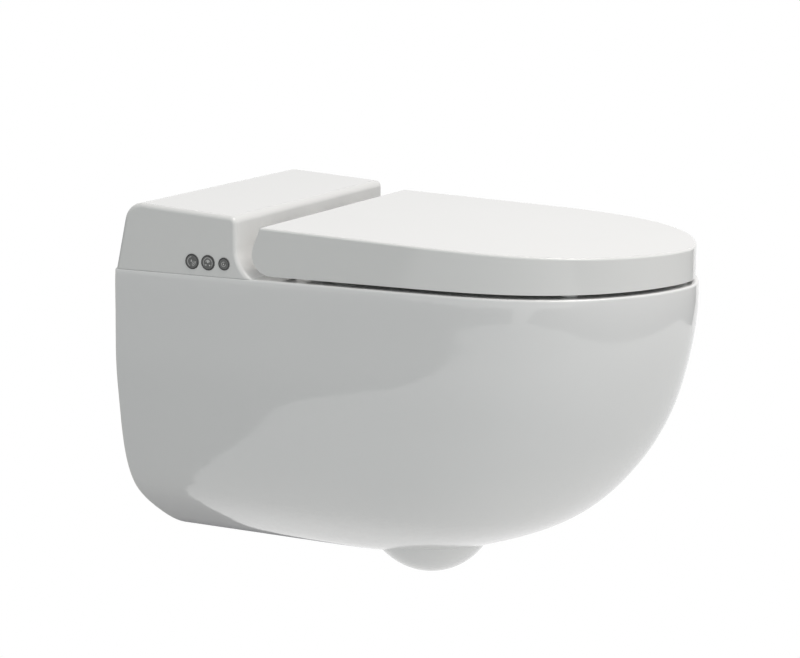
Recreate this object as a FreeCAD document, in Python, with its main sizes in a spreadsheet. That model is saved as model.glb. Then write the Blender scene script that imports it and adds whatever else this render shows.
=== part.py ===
"""Wall-hung bidet toilet: ceramic pan, seat, lid, rear housing and washing gear.

Frame: X across, Y out of the wall (the nose of the pan points to -Y), Z up.
Origin: midway between the two wall fixing holes, on the wall plane.
"""
import FreeCAD, Part
import math
import os
import re

import Sketcher
from FreeCAD import Placement, Rotation, Vector

# Driving sizes in millimetres, angles in degrees
SIZES = {
    # pan
    "rim_height": 80,
    "pan_half_width": 185,
    "pan_length": 639,
    "pan_depth": 350,
    "pan_wall": 12,
    "deck_thick": 12,
    "back_wall": 14,
    "shelf_beyond_bolts": 12,
    "rim_round": 2.5,
    "well_round": 6,
    # bowl well and trap
    "well_rim_side": 43,
    "well_rim_front": 40,
    "well_rear_gap": 31.5,
    "well_wall": 10,
    "sump_radius": 67,
    "sump_wall": 12,
    "sump_out": 319,
    "sump_rise": 57,
    "trap_radius": 36,
    "trap_wall": 9,
    "trap_rise": 48,
    "trap_bend": 70,
    "trap_low_gap": 84,
    "trap_high_gap": 169,
    "waste_drop": 100,
    "spigot_radius": 51,
    "spigot_bore": 42,
    "spigot_length": 60,
    "spigot_gap": 11,
    # flushing water way
    "inlet_rise": 35,
    "inlet_hole": 27.5,
    "inlet_seat": 30,
    "inlet_draft": 2,
    "flush_radius": 20,
    "flush_wall": 6,
    "flush_inset": 99,
    "flush_turn_near": 70,
    "flush_turn_far": 150,
    "flush_end": 300,
    "flush_bend": 60,
    "seal_bore": 22.5,
    "seal_fit": 0.1,
    # wall fixing
    "fixing_spacing": 180,
    "fixing_hole": 12.3,
    "sleeve_outer": 12,
    "sleeve_bore": 7,
    "sleeve_flange": 17,
    "sleeve_flange_thick": 3,
    # windows in the back wall
    "window_inset": 35,
    "window_side": 70,
    "window_low": 150,
    "window_high": 30,
    # housing
    "housing_top_rear": 80.4,
    "housing_rear_lean": 13,
    "housing_front_out": 162,
    "housing_front_top": 69.3,
    "housing_cove_high": 33,
    "housing_cove_radius": 38,
    "cove_run_on": 4,
    "housing_rear_round": 24,
    "housing_front_round": 8,
    "housing_edge_round": 5,
    "housing_wall": 3,
    "base_thick": 4,
    "base_gap": 0.3,
    "slot_near": 92,
    "slot_gap": 6,
    "slot_left": 18,
    "slot_right": 42,
    "deck_slot_gap": 17,
    # housing screws and bolts
    "boss_inset": 17,
    "boss_near": 24,
    "boss_far_inset": 39,
    "boss_far_gap": 14,
    "rib_thick": 3,
    "boss_radius": 6,
    "boss_top": 40,
    "screw_radius": 1.9,
    "screw_head": 3.6,
    "screw_head_thick": 2,
    "screw_length": 18,
    "screw_grip": 14,
    "screw_play": 0.1,
    "bolt_radius": 3,
    "bolt_head": 5.5,
    "bolt_head_thick": 4,
    "nut_radius": 8,
    "nut_thick": 6,
    "bolt_play": 0.6,
    "base_bolt_inset": 65,
    "base_bolt_gap": 22,
    # hinges
    "hinge_gap": 41.5,
    "hinge_rise": 27,
    "pin_radius": 5,
    "pin_fit": 0.06,
    "knuckle_radius": 11,
    "seat_knuckle_in": 78,
    "seat_knuckle_out": 94,
    "lid_knuckle_in": 96,
    "lid_knuckle_out": 112,
    "pin_in": 60,
    "pin_out": 113,
    "damper_in": 34,
    "damper_out": 75,
    "damper_radius": 9,
    "bracket_in": 42,
    "bracket_out": 70,
    "bracket_radius": 12.5,
    "foot_out": 92,
    "foot_rear": 13.5,
    "foot_front": 22.5,
    "foot_thick": 4,
    "hinge_bolt_side": 81,
    "hinge_bolt_gap": 14.5,
    # lid
    "lid_side_inset": 3.7,
    "lid_side_over": 0.1,
    "lid_nose_inset": 3.5,
    "lid_gap": 4.4,
    "lid_top_rear": 59.6,
    "lid_rear_lap": 10,
    "lid_top_nose": 41,
    "lid_wall": 4,
    "lid_round": 2.5,
    "lid_wall_end": 45,
    "web_bite": 1,
    "notch_in": 32,
    "notch_out": 94.8,
    "notch_rise": 17,
    # seat
    "seat_side_inset": 12,
    "seat_nose_inset": 12,
    "seat_rear_gap": 24.5,
    "seat_low": 8,
    "seat_under_lid": 13,
    "seat_side_width": 63,
    "seat_front_width": 53,
    "seat_rear_width": 62,
    "seat_round": 5,
    "arm_drop": 10,
    "arm_rise": 9,
    "bumper_radius": 9,
    "bumper_gap": 0.3,
    "bumper_rear_inset": 30,
    "bumper_rear_gap": 47,
    "bumper_front_inset": 47,
    "bumper_nose_inset": 87,
    # nozzle, measured from the tip back along the wand
    "nozzle_reach": 11,
    "nozzle_drop": 66,
    "nozzle_tilt": 30,
    "nozzle_travel": 100,
    "wand_radius": 8.5,
    "wand_length": 230,
    "wand_flat": 7.5,
    "guide_bore": 8.8,
    "guide_outer": 12.5,
    "guide_start": 0.3,
    "guide_end": 205,
    "guide_slot": 3,
    "guide_slot_start": 12,
    "guide_foot_near": 82,
    "guide_foot_far": 92,
    "guide_foot_half": 9,
    "guide_foot_top": 10.5,
    "guide_hole": 13.2,
    "guide_hole_start": 15,
    "guide_hole_length": 50,
    "cap_radius": 11,
    "cap_thick": 7,
    "chamber_deep": 4.9,
    "jet_radius": 0.8,
    "jet_step": 2.4,
    "gear_module": 1,
    "gear_teeth": 16,
    "rack_height": 5,
    "rack_spare": 12,
    "rack_bar": 2.5,
    "tooth_rise": 0.8,
    "tooth_root": 1.2,
    "tooth_half_low": 1.05,
    "tooth_half_high": 0.42,
    "pinion_back": 122,
    "pinion_thick": 4.6,
    "shaft_radius": 2.5,
    "shaft_fit": 0.08,
    "shaft_way_play": 0.24,
    "shaft_rise": 10,
    "shaft_end_gap": 0.5,
    "plate_low": 3.2,
    "plate_thick": 2.5,
    "plate_half": 16,
    "plate_in": 9.5,
    "motor_radius": 14,
    "motor_offset": 8,
    "motor_height": 19,
    # water and power gear on the housing base
    "heater_side": 66,
    "heater_inset": 27,
    "heater_near": 24,
    "heater_depth": 66,
    "heater_height": 42,
    "heater_round": 8,
    "pump_side": 42,
    "pump_near": 22,
    "pump_radius": 15,
    "pump_length": 30,
    "pump_head": 18,
    "pump_foot": 4,
    "pump_grip": 5,
    "fitting_inset": 39,
    "fitting_out": 112,
    "fitting_radius": 10.4,
    "fitting_bore": 6,
    "fitting_flange": 15,
    "fitting_flange_thick": 3,
    "fitting_drop": 34,
    "fitting_opening": 25,
    "valve_width": 26,
    "valve_depth": 34,
    "valve_height": 24,
    "valve_coil_height": 14,
    "hose_radius": 4,
    "hose_bore": 2.6,
    "gland_inset": 35,
    "gland_out": 60,
    "gland_radius": 9,
    "gland_bore": 3.6,
    "gland_flange": 12,
    "gland_flange_thick": 3,
    "gland_drop": 24,
    "gland_opening": 21,
    "supply_inset": 57,
    "supply_width": 52,
    "supply_near": 22,
    "supply_depth": 62,
    "supply_height": 32,
    "board_inset": 47,
    "board_width": 66,
    "board_near": 92,
    "board_depth": 52,
    "board_thick": 1.6,
    "board_rise": 10,
    "post_radius": 3,
    "post_inset": 4,
    "relay_width": 13,
    "relay_depth": 17,
    "relay_rise": 12,
    "relay_step": 18,
    "relay_inset": 6.5,
    "connector_depth": 6.5,
    "connector_rise": 8.4,
    # buttons in the side of the housing, counted from the wall
    "button_rise": 15.2,
    "button_first": 104.2,
    "button_step": 21,
    "button_radius": 8.6,
    "button_small_radius": 7.1,
    "button_proud": 0.8,
    "button_travel": 1.2,
    "button_gap": 0.3,
    "button_lip": 1.2,
    "button_lip_thick": 1.5,
    "button_lip_gap": 0.3,
    "button_stem": 3,
    "button_stem_length": 9,
    "holder_thick": 3,
    "holder_room": 1,
    "holder_margin": 11,
    "holder_fit": 0.15,
    "switch_size": 6,
    "switch_rise": 4.5,
    "switch_gap": 0.4,
    # shared clearances
    "overrun": 5,
}

# Sizes that follow from others
FOLLOWING = {
    "well_half_width": "pan_half_width - well_rim_side",
    "well_half_length": "(pan_length - well_rim_front - well_rear_out) / 2",
    "well_middle": "(pan_length - well_rim_front + well_rear_out) / 2",
    "well_rear_out": "hinge_out + well_rear_gap",
    "sump_drop": "pan_depth - sump_rise",
    "trap_drop": "pan_depth - trap_rise",
    "trap_low_out": "sump_out - trap_low_gap",
    "trap_high_out": "sump_out - trap_high_gap",
    "flush_side": "pan_half_width - flush_inset",
    "window_width": "pan_half_width - window_inset - window_side",
    "slot_far": "housing_front_out + slot_gap",
    "deck_slot_far": "housing_front_out + deck_slot_gap",
    "boss_side": "pan_half_width - boss_inset",
    "boss_far_side": "pan_half_width - boss_far_inset",
    "boss_far": "housing_front_out - boss_far_gap",
    "base_bolt_side": "pan_half_width - base_bolt_inset",
    "base_bolt_out": "housing_front_out - base_bolt_gap",
    "hinge_out": "housing_front_out + hinge_gap",
    "foot_near": "hinge_out - foot_rear",
    "foot_far": "hinge_out + foot_front",
    "hinge_bolt_out": "hinge_out + hinge_bolt_gap",
    "lid_half_width_low": "pan_half_width - lid_side_inset",
    "lid_half_width_high": "pan_half_width + lid_side_over",
    "lid_length": "pan_length - lid_nose_inset",
    "lid_rear_out": "hinge_out - lid_rear_lap",
    "seat_half_width": "pan_half_width - seat_side_inset",
    "seat_length": "pan_length - seat_nose_inset",
    "seat_rear_out": "hinge_out + seat_rear_gap",
    "seat_hole_rear_out": "seat_rear_out + seat_rear_width",
    "seat_hole_half_width": "seat_half_width - seat_side_width",
    "seat_hole_half_length": "(seat_length - seat_front_width - seat_hole_rear_out) / 2",
    "seat_hole_middle": "(seat_length - seat_front_width + seat_hole_rear_out) / 2",
    "bumper_side": "seat_half_width - bumper_rear_inset",
    "bumper_rear_out": "seat_rear_out + bumper_rear_gap",
    "bumper_front_side": "seat_half_width - bumper_front_inset",
    "bumper_front_out": "seat_length - bumper_nose_inset",
    "nozzle_out": "well_rear_out + nozzle_reach",
    "nozzle_rise": "rim_height - nozzle_drop",
    "heater_width": "pan_half_width - heater_inset - heater_side",
    "fitting_side": "pan_half_width - fitting_inset",
    "gland_side": "pan_half_width - gland_inset",
    "supply_side": "pan_half_width - supply_inset - supply_width",
    "board_side": "pan_half_width - board_inset - board_width",
}

# Closeness at which two levels count as one
EXACT = 0.001

# Relays in a row on the control board
RELAYS = 3

# Pan sections: share of the depth under the rim, then shares of half width and length
PAN_SHARES = [
    (0.0, 1.0, 1.0),
    (0.1, 1.011, 1.0),
    (0.23, 1.019, 0.99),
    (0.35, 1.018, 0.974),
    (0.46, 0.997, 0.952),
    (0.56, 0.974, 0.922),
    (0.65, 0.938, 0.886),
    (0.735, 0.872, 0.842),
    (0.815, 0.745, 0.784),
    (0.89, 0.56, 0.7),
    (0.955, 0.36, 0.595),
    (1.0, 0.12, 0.5),
]
# Well sections: share of the sump's depth, then of the way to the sump, half length, half width
WELL_SHARES = [
    (0.0, 0.0, 1.0, 1.0),
    (0.1, 0.0, 0.985, 0.985),
    (0.28, 0.06, 0.905, 0.9),
    (0.48, 0.28, 0.7, 0.7),
    (0.65, 0.66, 0.49, 0.51),
    (0.78, 0.93, 0.37, 0.43),
    (1.0, 1.0, 0.355, 0.45),
]
STRAIGHT_SHARE = 0.577
TIP_SHARE = 0.22
NOSE_LONG_POWER = 3.05
NOSE_SIDE_POWER = 1.54
NOSE_STEPS = 9

doc = FreeCAD.newDocument("BidetToilet")
sheet = doc.addObject("Spreadsheet::Sheet", "Sizes")
for row, (alias, value) in enumerate(SIZES.items(), start=1):
    sheet.set(f"A{row}", alias)
    sheet.set(f"B{row}", str(value))
    sheet.setAlias(f"B{row}", alias)
doc.recompute()

parts = []


def pointed(found):
    """A size name pointed at the sheet, or written out if it follows from other sizes."""
    name = found[0]
    if name in FOLLOWING:
        return f"({tied(FOLLOWING[name])})"
    return f"Sizes.{name}" if name in SIZES else name


def tied(text):
    """The expression with every size name pointed at the sheet."""
    return re.sub(r"[a-z][a-z_]+", pointed, text)


def size(text):
    """The present value of an expression in size names."""
    return float(sheet.evalExpression(tied(text)))


def bind(item, **rules):
    """Tie properties of an object to the sheet."""
    for name, text in rules.items():
        item.setExpression(name, tied(text))
    return item


def put(item, x, y, z):
    """Tie an object's place to the sheet."""
    for axis, text in (("x", x), ("y", y), ("z", z)):
        item.setExpression(f"Placement.Base.{axis}", tied(text))
    return item


def block(name, corner, spans):
    """A box from its low corner."""
    item = doc.addObject("Part::Box", name)
    bind(item, Length=spans[0], Width=spans[1], Height=spans[2])
    return put(item, *corner)


TURNS = {
    "x": Rotation(Vector(0, 1, 0), 90),
    "y": Rotation(Vector(1, 0, 0), -90),
    "z": Rotation(),
}


def rod(name, radius, length, start, axis="z"):
    """A cylinder that runs from its start point along an axis."""
    item = doc.addObject("Part::Cylinder", name)
    item.Placement = Placement(Vector(), TURNS[axis])
    bind(item, Radius=radius, Height=length)
    return put(item, *start)


def joined(name, pieces):
    """One piece made of overlapping pieces."""
    item = doc.addObject("Part::MultiFuse", name)
    item.Shapes = pieces
    item.Refine = True
    return item


def carved(name, base, tools):
    """A piece with the tools' space taken out of it."""
    item = doc.addObject("Part::Cut", name)
    item.Base = base
    item.Tool = tools[0] if len(tools) == 1 else joined(f"{name}_tools", tools)
    item.Refine = True
    return item


def group(name, pieces):
    """Separate like solids kept as one node."""
    item = doc.addObject("Part::Compound", name)
    item.Links = pieces
    return item


def shaped(name, shape):
    """A free form that neither a body nor a primitive can make."""
    item = doc.addObject("Part::Feature", name)
    item.Shape = shape
    return item


def keep(item, label):
    """Mark an object as a sub-part under its own name."""
    item.Label = label
    parts.append(item)
    return item


def origin_plane(body, role):
    """One of a body's own origin planes."""
    return next(f for f in body.Origin.OriginFeatures if f.Role == role)


def outline_sketch(body, name, role, points, closed_arcs=()):
    """A closed outline through points given in size names, with arcs {index: (radius, side)}."""
    arcs = dict(closed_arcs)
    sketch = body.newObject("Sketcher::SketchObject", name)
    sketch.AttachmentSupport = [(origin_plane(body, role), "")]
    sketch.MapMode = "FlatFace"
    spots = [Vector(size(u), size(v), 0) for u, v in points]
    count = len(spots)
    for index, spot in enumerate(spots):
        other = spots[(index + 1) % count]
        if index in arcs:
            radius, side = arcs[index]
            sketch.addGeometry(arc_between(spot, other, size(radius), side), False)
        else:
            sketch.addGeometry(Part.LineSegment(spot, other), False)
    ends = {}
    for index, spot in enumerate(spots):
        edge = sketch.Geometry[index]
        first = 1 if (edge.StartPoint - spot).Length < (edge.EndPoint - spot).Length else 2
        ends[index] = (first, 3 - first)
    for index in range(count):
        after = (index + 1) % count
        sketch.addConstraint(
            Sketcher.Constraint("Coincident", index, ends[index][1], after, ends[after][0])
        )
    for index, (u, v) in enumerate(points):
        for kind, text, value in (
            ("DistanceX", u, spots[index].x),
            ("DistanceY", v, spots[index].y),
        ):
            if abs(value) > 0:
                number = sketch.addConstraint(
                    Sketcher.Constraint(kind, -1, 1, index, ends[index][0], value)
                )
                sketch.setExpression(f"Constraints[{number}]", tied(text))
            else:
                axis = -2 if kind == "DistanceX" else -1
                sketch.addConstraint(
                    Sketcher.Constraint("PointOnObject", index, ends[index][0], axis)
                )
    for index, (radius, _) in arcs.items():
        number = sketch.addConstraint(Sketcher.Constraint("Radius", index, size(radius)))
        sketch.setExpression(f"Constraints[{number}]", tied(radius))
    return sketch


def arc_between(start, end, radius, side):
    """The short arc between two points, bulging to the left (side 1) or right (side -1)."""
    chord = end - start
    normal = Vector(-chord.y, chord.x, 0).normalize()
    centre_gap = math.sqrt(radius**2 - (chord.Length / 2) ** 2)
    centre = (start + end) * 0.5 - normal * (centre_gap * side)
    first, last = (end, start) if side > 0 else (start, end)
    circle = Part.Circle(centre, Vector(0, 0, 1), radius)
    return Part.ArcOfCircle(circle, circle.parameter(first), circle.parameter(last))


def new_body(name):
    return doc.addObject("PartDesign::Body", name)


def pad(body, sketch, length, both=False, back=False):
    """A pad of a sketch; both ways it is centred on the sketch."""
    item = body.newObject("PartDesign::Pad", f"{sketch.Name}_pad")
    item.Profile = sketch
    item.Midplane = both
    item.Reversed = back
    bind(item, Length=length)
    return item


def edges_near(shape, test):
    """Names of the edges whose middle and ends pass a test."""
    names = []
    for number, edge in enumerate(shape.Edges, start=1):
        spots = [vertex.Point for vertex in edge.Vertexes]
        spots.append(edge.valueAt((edge.FirstParameter + edge.LastParameter) / 2))
        if all(test(spot) for spot in spots):
            names.append(f"Edge{number}")
    return names


def rounded(body, name, base, edges, radius):
    """A fillet on named edges of the feature before it."""
    item = body.newObject("PartDesign::Fillet", name)
    item.Base = (base, edges)
    bind(item, Radius=radius)
    return item


# Outlines of the pan, lid and seat


def nose_outline(half_width, length, level, rear, straight=None):
    """A closed plan: parallel sides from the rear, then a round nose at the length.

    The level is a height, or gives the height of a sloping plane at a distance out.
    """
    start = straight if straight is not None else length * STRAIGHT_SHARE
    height = level if callable(level) else lambda out: level
    points = []
    for step in range(-NOSE_STEPS, NOSE_STEPS + 1):
        angle = step / NOSE_STEPS * math.pi / 2
        turn = abs(math.sin(angle))
        blunt = (turn**2 + TIP_SHARE**2) / (1 + TIP_SHARE**2)
        side = turn * blunt ** (1 / NOSE_SIDE_POWER - 1 / 2)
        reach = abs(math.cos(angle)) ** (2 / NOSE_LONG_POWER)
        out = start + (length - start) * reach
        points.append(Vector(math.copysign(half_width * side, angle), -out, height(out)))
    left, right = points[0], points[-1]
    rear_left = Vector(-half_width, -rear, height(rear))
    rear_right = Vector(half_width, -rear, height(rear))
    forward = (left - rear_left).normalize()
    curve = Part.BSplineCurve()
    curve.interpolate(Points=points, InitialTangent=forward, FinalTangent=-forward)
    edges = [
        Part.LineSegment(rear_left, left).toShape(),
        curve.toShape(),
        Part.LineSegment(right, rear_right).toShape(),
        Part.LineSegment(rear_right, rear_left).toShape(),
    ]
    return Part.Wire(edges)


def oval(middle, half_length, half_width, height):
    """A closed oval in plan with its axes along X and Y, begun at its rear."""
    centre = Vector(0, -middle, height)
    along = Vector(0, half_length, 0)
    across = Vector(half_width, 0, 0)
    if half_length >= half_width:
        curve = Part.Ellipse(centre + along, centre + across, centre)
        start = 0
    else:
        curve = Part.Ellipse(centre + across, centre - along, centre)
        start = -math.pi / 2
    return Part.Wire([curve.toShape(start, start + 2 * math.pi)])


def bent_path(points, bend):
    """Straight runs joined by tangent arcs of one radius."""
    edges = []
    start = points[0]
    for before, corner, after in zip(points, points[1:], points[2:]):
        arrive = (corner - before).normalize()
        leave = (after - corner).normalize()
        turn = arrive.getAngle(leave)
        setback = bend * math.tan(turn / 2)
        first = corner - arrive * setback
        last = corner + leave * setback
        inward = (leave - arrive).normalize()
        middle = corner + inward * (bend / math.cos(turn / 2) - bend)
        edges.append(Part.LineSegment(start, first).toShape())
        edges.append(Part.Arc(first, middle, last).toShape())
        start = last
    edges.append(Part.LineSegment(start, points[-1]).toShape())
    return Part.Wire(edges)


def tube(points, bend, radius):
    """A solid round bar along a bent path."""
    path = bent_path(points, bend)
    facing = (points[1] - points[0]).normalize()
    ring = Part.Wire([Part.Circle(points[0], facing, radius).toShape()])
    return path.makePipeShell([ring], True, False)


# Ceramic pan


def pan_loft(inset, rear, top_drop, depth):
    """The pan's outer form, or its hollow when inset by the wall, flat at the rear."""
    wires = []
    for low, wide, out in PAN_SHARES:
        drop = top_drop + (depth - top_drop) * low
        wires.append(
            nose_outline(
                size("pan_half_width") * wide - inset,
                size("pan_length") * out - inset,
                size("rim_height") - drop,
                rear - size("overrun"),
                size("pan_length") * out * STRAIGHT_SHARE,
            )
        )
    span_all = size("2 * pan_length")
    corner = Vector(-span_all / 2, -rear, -span_all / 2)
    return Part.makeLoft(wires, True, False).cut(Part.makeBox(span_all, span_all, span_all, corner))


def well_loft(grow):
    """The bowl's well, or its outer skin when grown by the wall."""
    wires = []
    for low, way, long, wide in WELL_SHARES:
        middle = size("well_middle") + (size("sump_out") - size("well_middle")) * way
        wires.append(
            oval(
                middle,
                size("well_half_length") * long + grow,
                size("well_half_width") * wide + grow,
                size("rim_height") - size("sump_drop") * low,
            )
        )
    return Part.makeLoft(wires, True, False)


def make_pan():
    """The pan's casting as its shell, its bowl, its trap and its flush way."""
    over = size("overrun")
    rim = size("rim_height")
    sump = Vector(0, -size("sump_out"), rim - size("sump_drop"))
    trap_level = rim - size("trap_drop")
    waste_level = -size("waste_drop")
    trap = [
        Vector(0, -size("sump_out"), trap_level),
        Vector(0, -size("trap_low_out"), trap_level),
        Vector(0, -size("trap_high_out"), waste_level),
        Vector(0, -size("spigot_length") / 2, waste_level),
    ]
    flush = [
        Vector(0, -size("inlet_seat") + over, size("inlet_rise")),
        Vector(0, -size("flush_turn_near"), size("inlet_rise")),
        Vector(size("flush_side"), -size("flush_turn_far"), size("inlet_rise")),
        Vector(size("flush_side"), -size("flush_end"), size("inlet_rise")),
    ]
    back = Vector(0, -1, 0)
    waste = Vector(0, 0, waste_level)
    inlet = Vector(0, 0, size("inlet_rise"))
    hull = pan_loft(0, 0, 0, size("pan_depth"))
    hollow = pan_loft(
        size("pan_wall"), size("back_wall"), size("deck_thick"), size("pan_depth") - size("pan_wall")
    )
    opening = Part.makeCylinder(
        size("spigot_radius") + size("spigot_gap"), size("back_wall") + over, waste, back
    )
    inlet_way = Part.makeCylinder(size("inlet_hole"), size("inlet_seat"), inlet, back)
    boss_outer = size("inlet_hole") + size("flush_wall")
    boss = Part.makeCone(
        boss_outer, boss_outer - size("inlet_draft"), size("inlet_seat") + over, inlet, back
    )
    above = Part.makeCylinder(size("pan_length"), size("pan_depth"), Vector(0, 0, rim))
    ball = Part.makeSphere(size("sump_radius") + size("sump_wall"), sump)
    bowl_out = well_loft(size("well_wall")).fuse(ball).cut(above)
    flush_water = tube(flush, size("flush_bend"), size("flush_radius"))
    trap_water = tube(trap, size("trap_bend"), size("trap_radius"))
    bowl = bowl_out.cut(
        [well_loft(0), Part.makeSphere(size("sump_radius"), sump), trap_water, flush_water]
    )
    trap_skin = tube(trap, size("trap_bend"), size("trap_radius") + size("trap_wall")).fuse(
        Part.makeCylinder(size("spigot_radius"), size("spigot_length"), waste, back)
    )
    shell = hull.cut([hollow, opening, boss, bowl_out, trap_skin])
    spigot_way = Part.makeCylinder(size("spigot_bore"), size("spigot_length"), waste, back)
    trap_pipe = trap_skin.cut([bowl_out, trap_water, spigot_way])
    flush_skin = tube(flush, size("flush_bend"), size("flush_radius") + size("flush_wall")).fuse(boss)
    flush_pipe = flush_skin.cut([shell, bowl_out, flush_water, inlet_way])
    return shell, bowl, trap_pipe, flush_pipe


def rim_edges(shape, level, test):
    """Edges that lie in the rim's plane and pass a test of their box."""
    found = []
    for edge in shape.Edges:
        box = edge.BoundBox
        if abs(box.ZMin - level) + abs(box.ZMax - level) < EXACT and test(box):
            found.append(edge)
    return found


def largest(shape):
    """The largest solid of a shape, without the seams of its making."""
    return max(shape.removeSplitter().Solids, key=lambda solid: solid.Volume)


def make_pan_forms():
    """The pan's five forms, with the rim rounded outside and round the well."""
    shell, bowl, trap_pipe, flush_pipe = [largest(shape) for shape in make_pan()]
    rim = size("rim_height")
    between = size("(well_half_width + well_wall + pan_half_width) / 2")
    outside = rim_edges(shell, rim, lambda box: box.YMin < -between and box.XMax > between)
    outside += rim_edges(shell, rim, lambda box: box.YMin < -between and box.XMax < -between)
    shell = shell.makeFillet(size("rim_round"), outside)
    within = size("well_half_width + well_wall / 2")
    mouth = rim_edges(bowl, rim, lambda box: abs(box.XMax) < within and abs(box.XMin) < within)
    bowl = bowl.makeFillet(size("well_round"), mouth)
    side = size("pan_half_width - pan_wall")
    reach = size("hinge_bolt_out + shelf_beyond_bolts")
    behind_rim = Part.makeBox(
        2 * side,
        reach - size("back_wall"),
        size("deck_thick + overrun"),
        Vector(-side, -reach, rim - size("deck_thick")),
    )
    shelf = shell.common(behind_rim)
    shell = shell.cut(behind_rim)
    return [part.Solids[0] for part in (shell, shelf, bowl, trap_pipe, flush_pipe)]


shell_form, shelf_form, bowl_form, trap_form, flush_form = make_pan_forms()
shell_item = shaped("pan_shell_form", shell_form)
shelf_item = shaped("pan_shelf_form", shelf_form)
bowl_item = shaped("pan_bowl_form", bowl_form)
keep(shaped("pan_trap_form", trap_form), "pan_trap")
keep(shaped("pan_flush_form", flush_form), "pan_flush_way")

NOZZLE_PLACE = Placement(
    Vector(0, -size("nozzle_out"), size("nozzle_rise")),
    Rotation(Vector(1, 0, 0), size("nozzle_tilt")),
)
DECK_LOW = "rim_height - deck_thick"
DECK_CUT = "deck_thick + 2 * overrun"
BASE_TOP = "rim_height + base_thick"


def span(side, near, far):
    """Low corner and length across X of something between two distances on one side."""
    low = f"{near}" if side > 0 else f"-({far})"
    return low, f"({far}) - ({near})"


def signed(side, text):
    return text if side > 0 else f"-({text})"


def nozzle_framed(item):
    """Move a finished piece from the wand's own frame to its place."""
    item.Placement = NOZZLE_PLACE
    return item


SIDES = ((1, "right"), (-1, "left"))


def deck_holes():
    """Everything that passes through the deck, as cutting tools."""
    low = f"{DECK_LOW} - overrun"
    tools = [
        block(
            "fitting_way",
            ("fitting_side - fitting_opening / 2", "-fitting_out - fitting_opening / 2", low),
            ("fitting_opening", "fitting_opening", DECK_CUT),
        ),
        rod("gland_way", "gland_opening / 2", DECK_CUT, ("-gland_side", "-gland_out", low)),
        block(
            "deck_slot",
            ("-slot_left", "-deck_slot_far", low),
            ("slot_left + slot_right", "deck_slot_far - slot_near", DECK_CUT),
        ),
    ]
    for side, word in SIDES:
        for name, across, out in (
            ("base_bolt", "base_bolt_side", "base_bolt_out"),
            ("hinge_bolt", "hinge_bolt_side", "hinge_bolt_out"),
        ):
            spot = (signed(side, across), f"-{out}", low)
            tools.append(rod(f"{name}_hole_{word}", "bolt_radius + bolt_play", DECK_CUT, spot))
    return tools


def guide_way(name):
    """The slanted hole that the nozzle's guide passes through."""
    way = rod(f"{name}_rod", "guide_hole", "guide_hole_length", ("0", "-guide_hole_start", "0"), "y")
    return nozzle_framed(group(name, [way]))


def make_shell():
    tools = [guide_way("shell_guide_way")]
    for side, word in SIDES:
        low, wide = span(side, "window_side", "window_side + window_width")
        tools.append(
            block(
                f"back_window_{word}",
                (low, "-back_wall - overrun", "-window_low"),
                (wide, "back_wall + 2 * overrun", "window_low - window_high"),
            )
        )
        tools.append(
            rod(
                f"fixing_hole_{word}",
                "fixing_hole",
                "back_wall + 2 * overrun",
                (signed(side, "fixing_spacing / 2"), "-back_wall - overrun", "0"),
                "y",
            )
        )
    return carved("pan_shell_cut", shell_item, tools)


keep(make_shell(), "pan_shell")
keep(carved("pan_shelf_cut", shelf_item, deck_holes() + [guide_way("shelf_guide_way")]), "pan_shelf")
keep(carved("pan_bowl_cut", bowl_item, [guide_way("bowl_guide_way")]), "pan_bowl")


# Wall fixing and seals


def make_sleeve(side, word):
    across = signed(side, "fixing_spacing / 2")
    base = joined(
        f"sleeve_form_{word}",
        [
            rod(f"sleeve_tube_{word}", "sleeve_outer", "back_wall", (across, "-back_wall", "0"), "y"),
            rod(
                f"sleeve_collar_{word}",
                "sleeve_flange",
                "sleeve_flange_thick",
                (across, "-back_wall - sleeve_flange_thick", "0"),
                "y",
            ),
        ],
    )
    bore = rod(
        f"sleeve_bore_{word}",
        "sleeve_bore",
        "back_wall + sleeve_flange_thick + 2 * overrun",
        (across, "-back_wall - sleeve_flange_thick - overrun", "0"),
        "y",
    )
    return carved(f"sleeve_{word}", base, [bore])


keep(group("sleeves", [make_sleeve(*side) for side in SIDES]), "fixing_sleeves")

seal_ring = rod("seal_ring", "inlet_hole - seal_fit", "inlet_seat", ("0", "-inlet_seat", "inlet_rise"), "y")
seal_way = rod(
    "seal_way",
    "seal_bore",
    "inlet_seat + 2 * overrun",
    ("0", "-inlet_seat - overrun", "inlet_rise"),
    "y",
)
keep(carved("seal", seal_ring, [seal_way]), "flush_inlet_seal")


# Rear housing

BASE_FRONT = (
    "(housing_front_out + housing_cove_radius + base_gap"
    " - sqrt((housing_cove_radius + housing_wall)^2 - (housing_cove_high - base_thick)^2))"
)
BASE_FRONT_OUT = f"({BASE_FRONT} - 2 * base_gap)"
BASE_SIDE = "(pan_half_width - housing_wall - base_gap)"
BASE_REAR = "(housing_wall / cos(housing_rear_lean) + base_thick * tan(housing_rear_lean) + base_gap)"
TOP_FALL = "((housing_top_rear - housing_front_top) / housing_front_out)"
TOP_WALL = f"(housing_wall / cos(atan({TOP_FALL})))"
REAR_WALL = "(housing_wall / cos(housing_rear_lean))"
LEAN = "tan(housing_rear_lean)"


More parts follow.
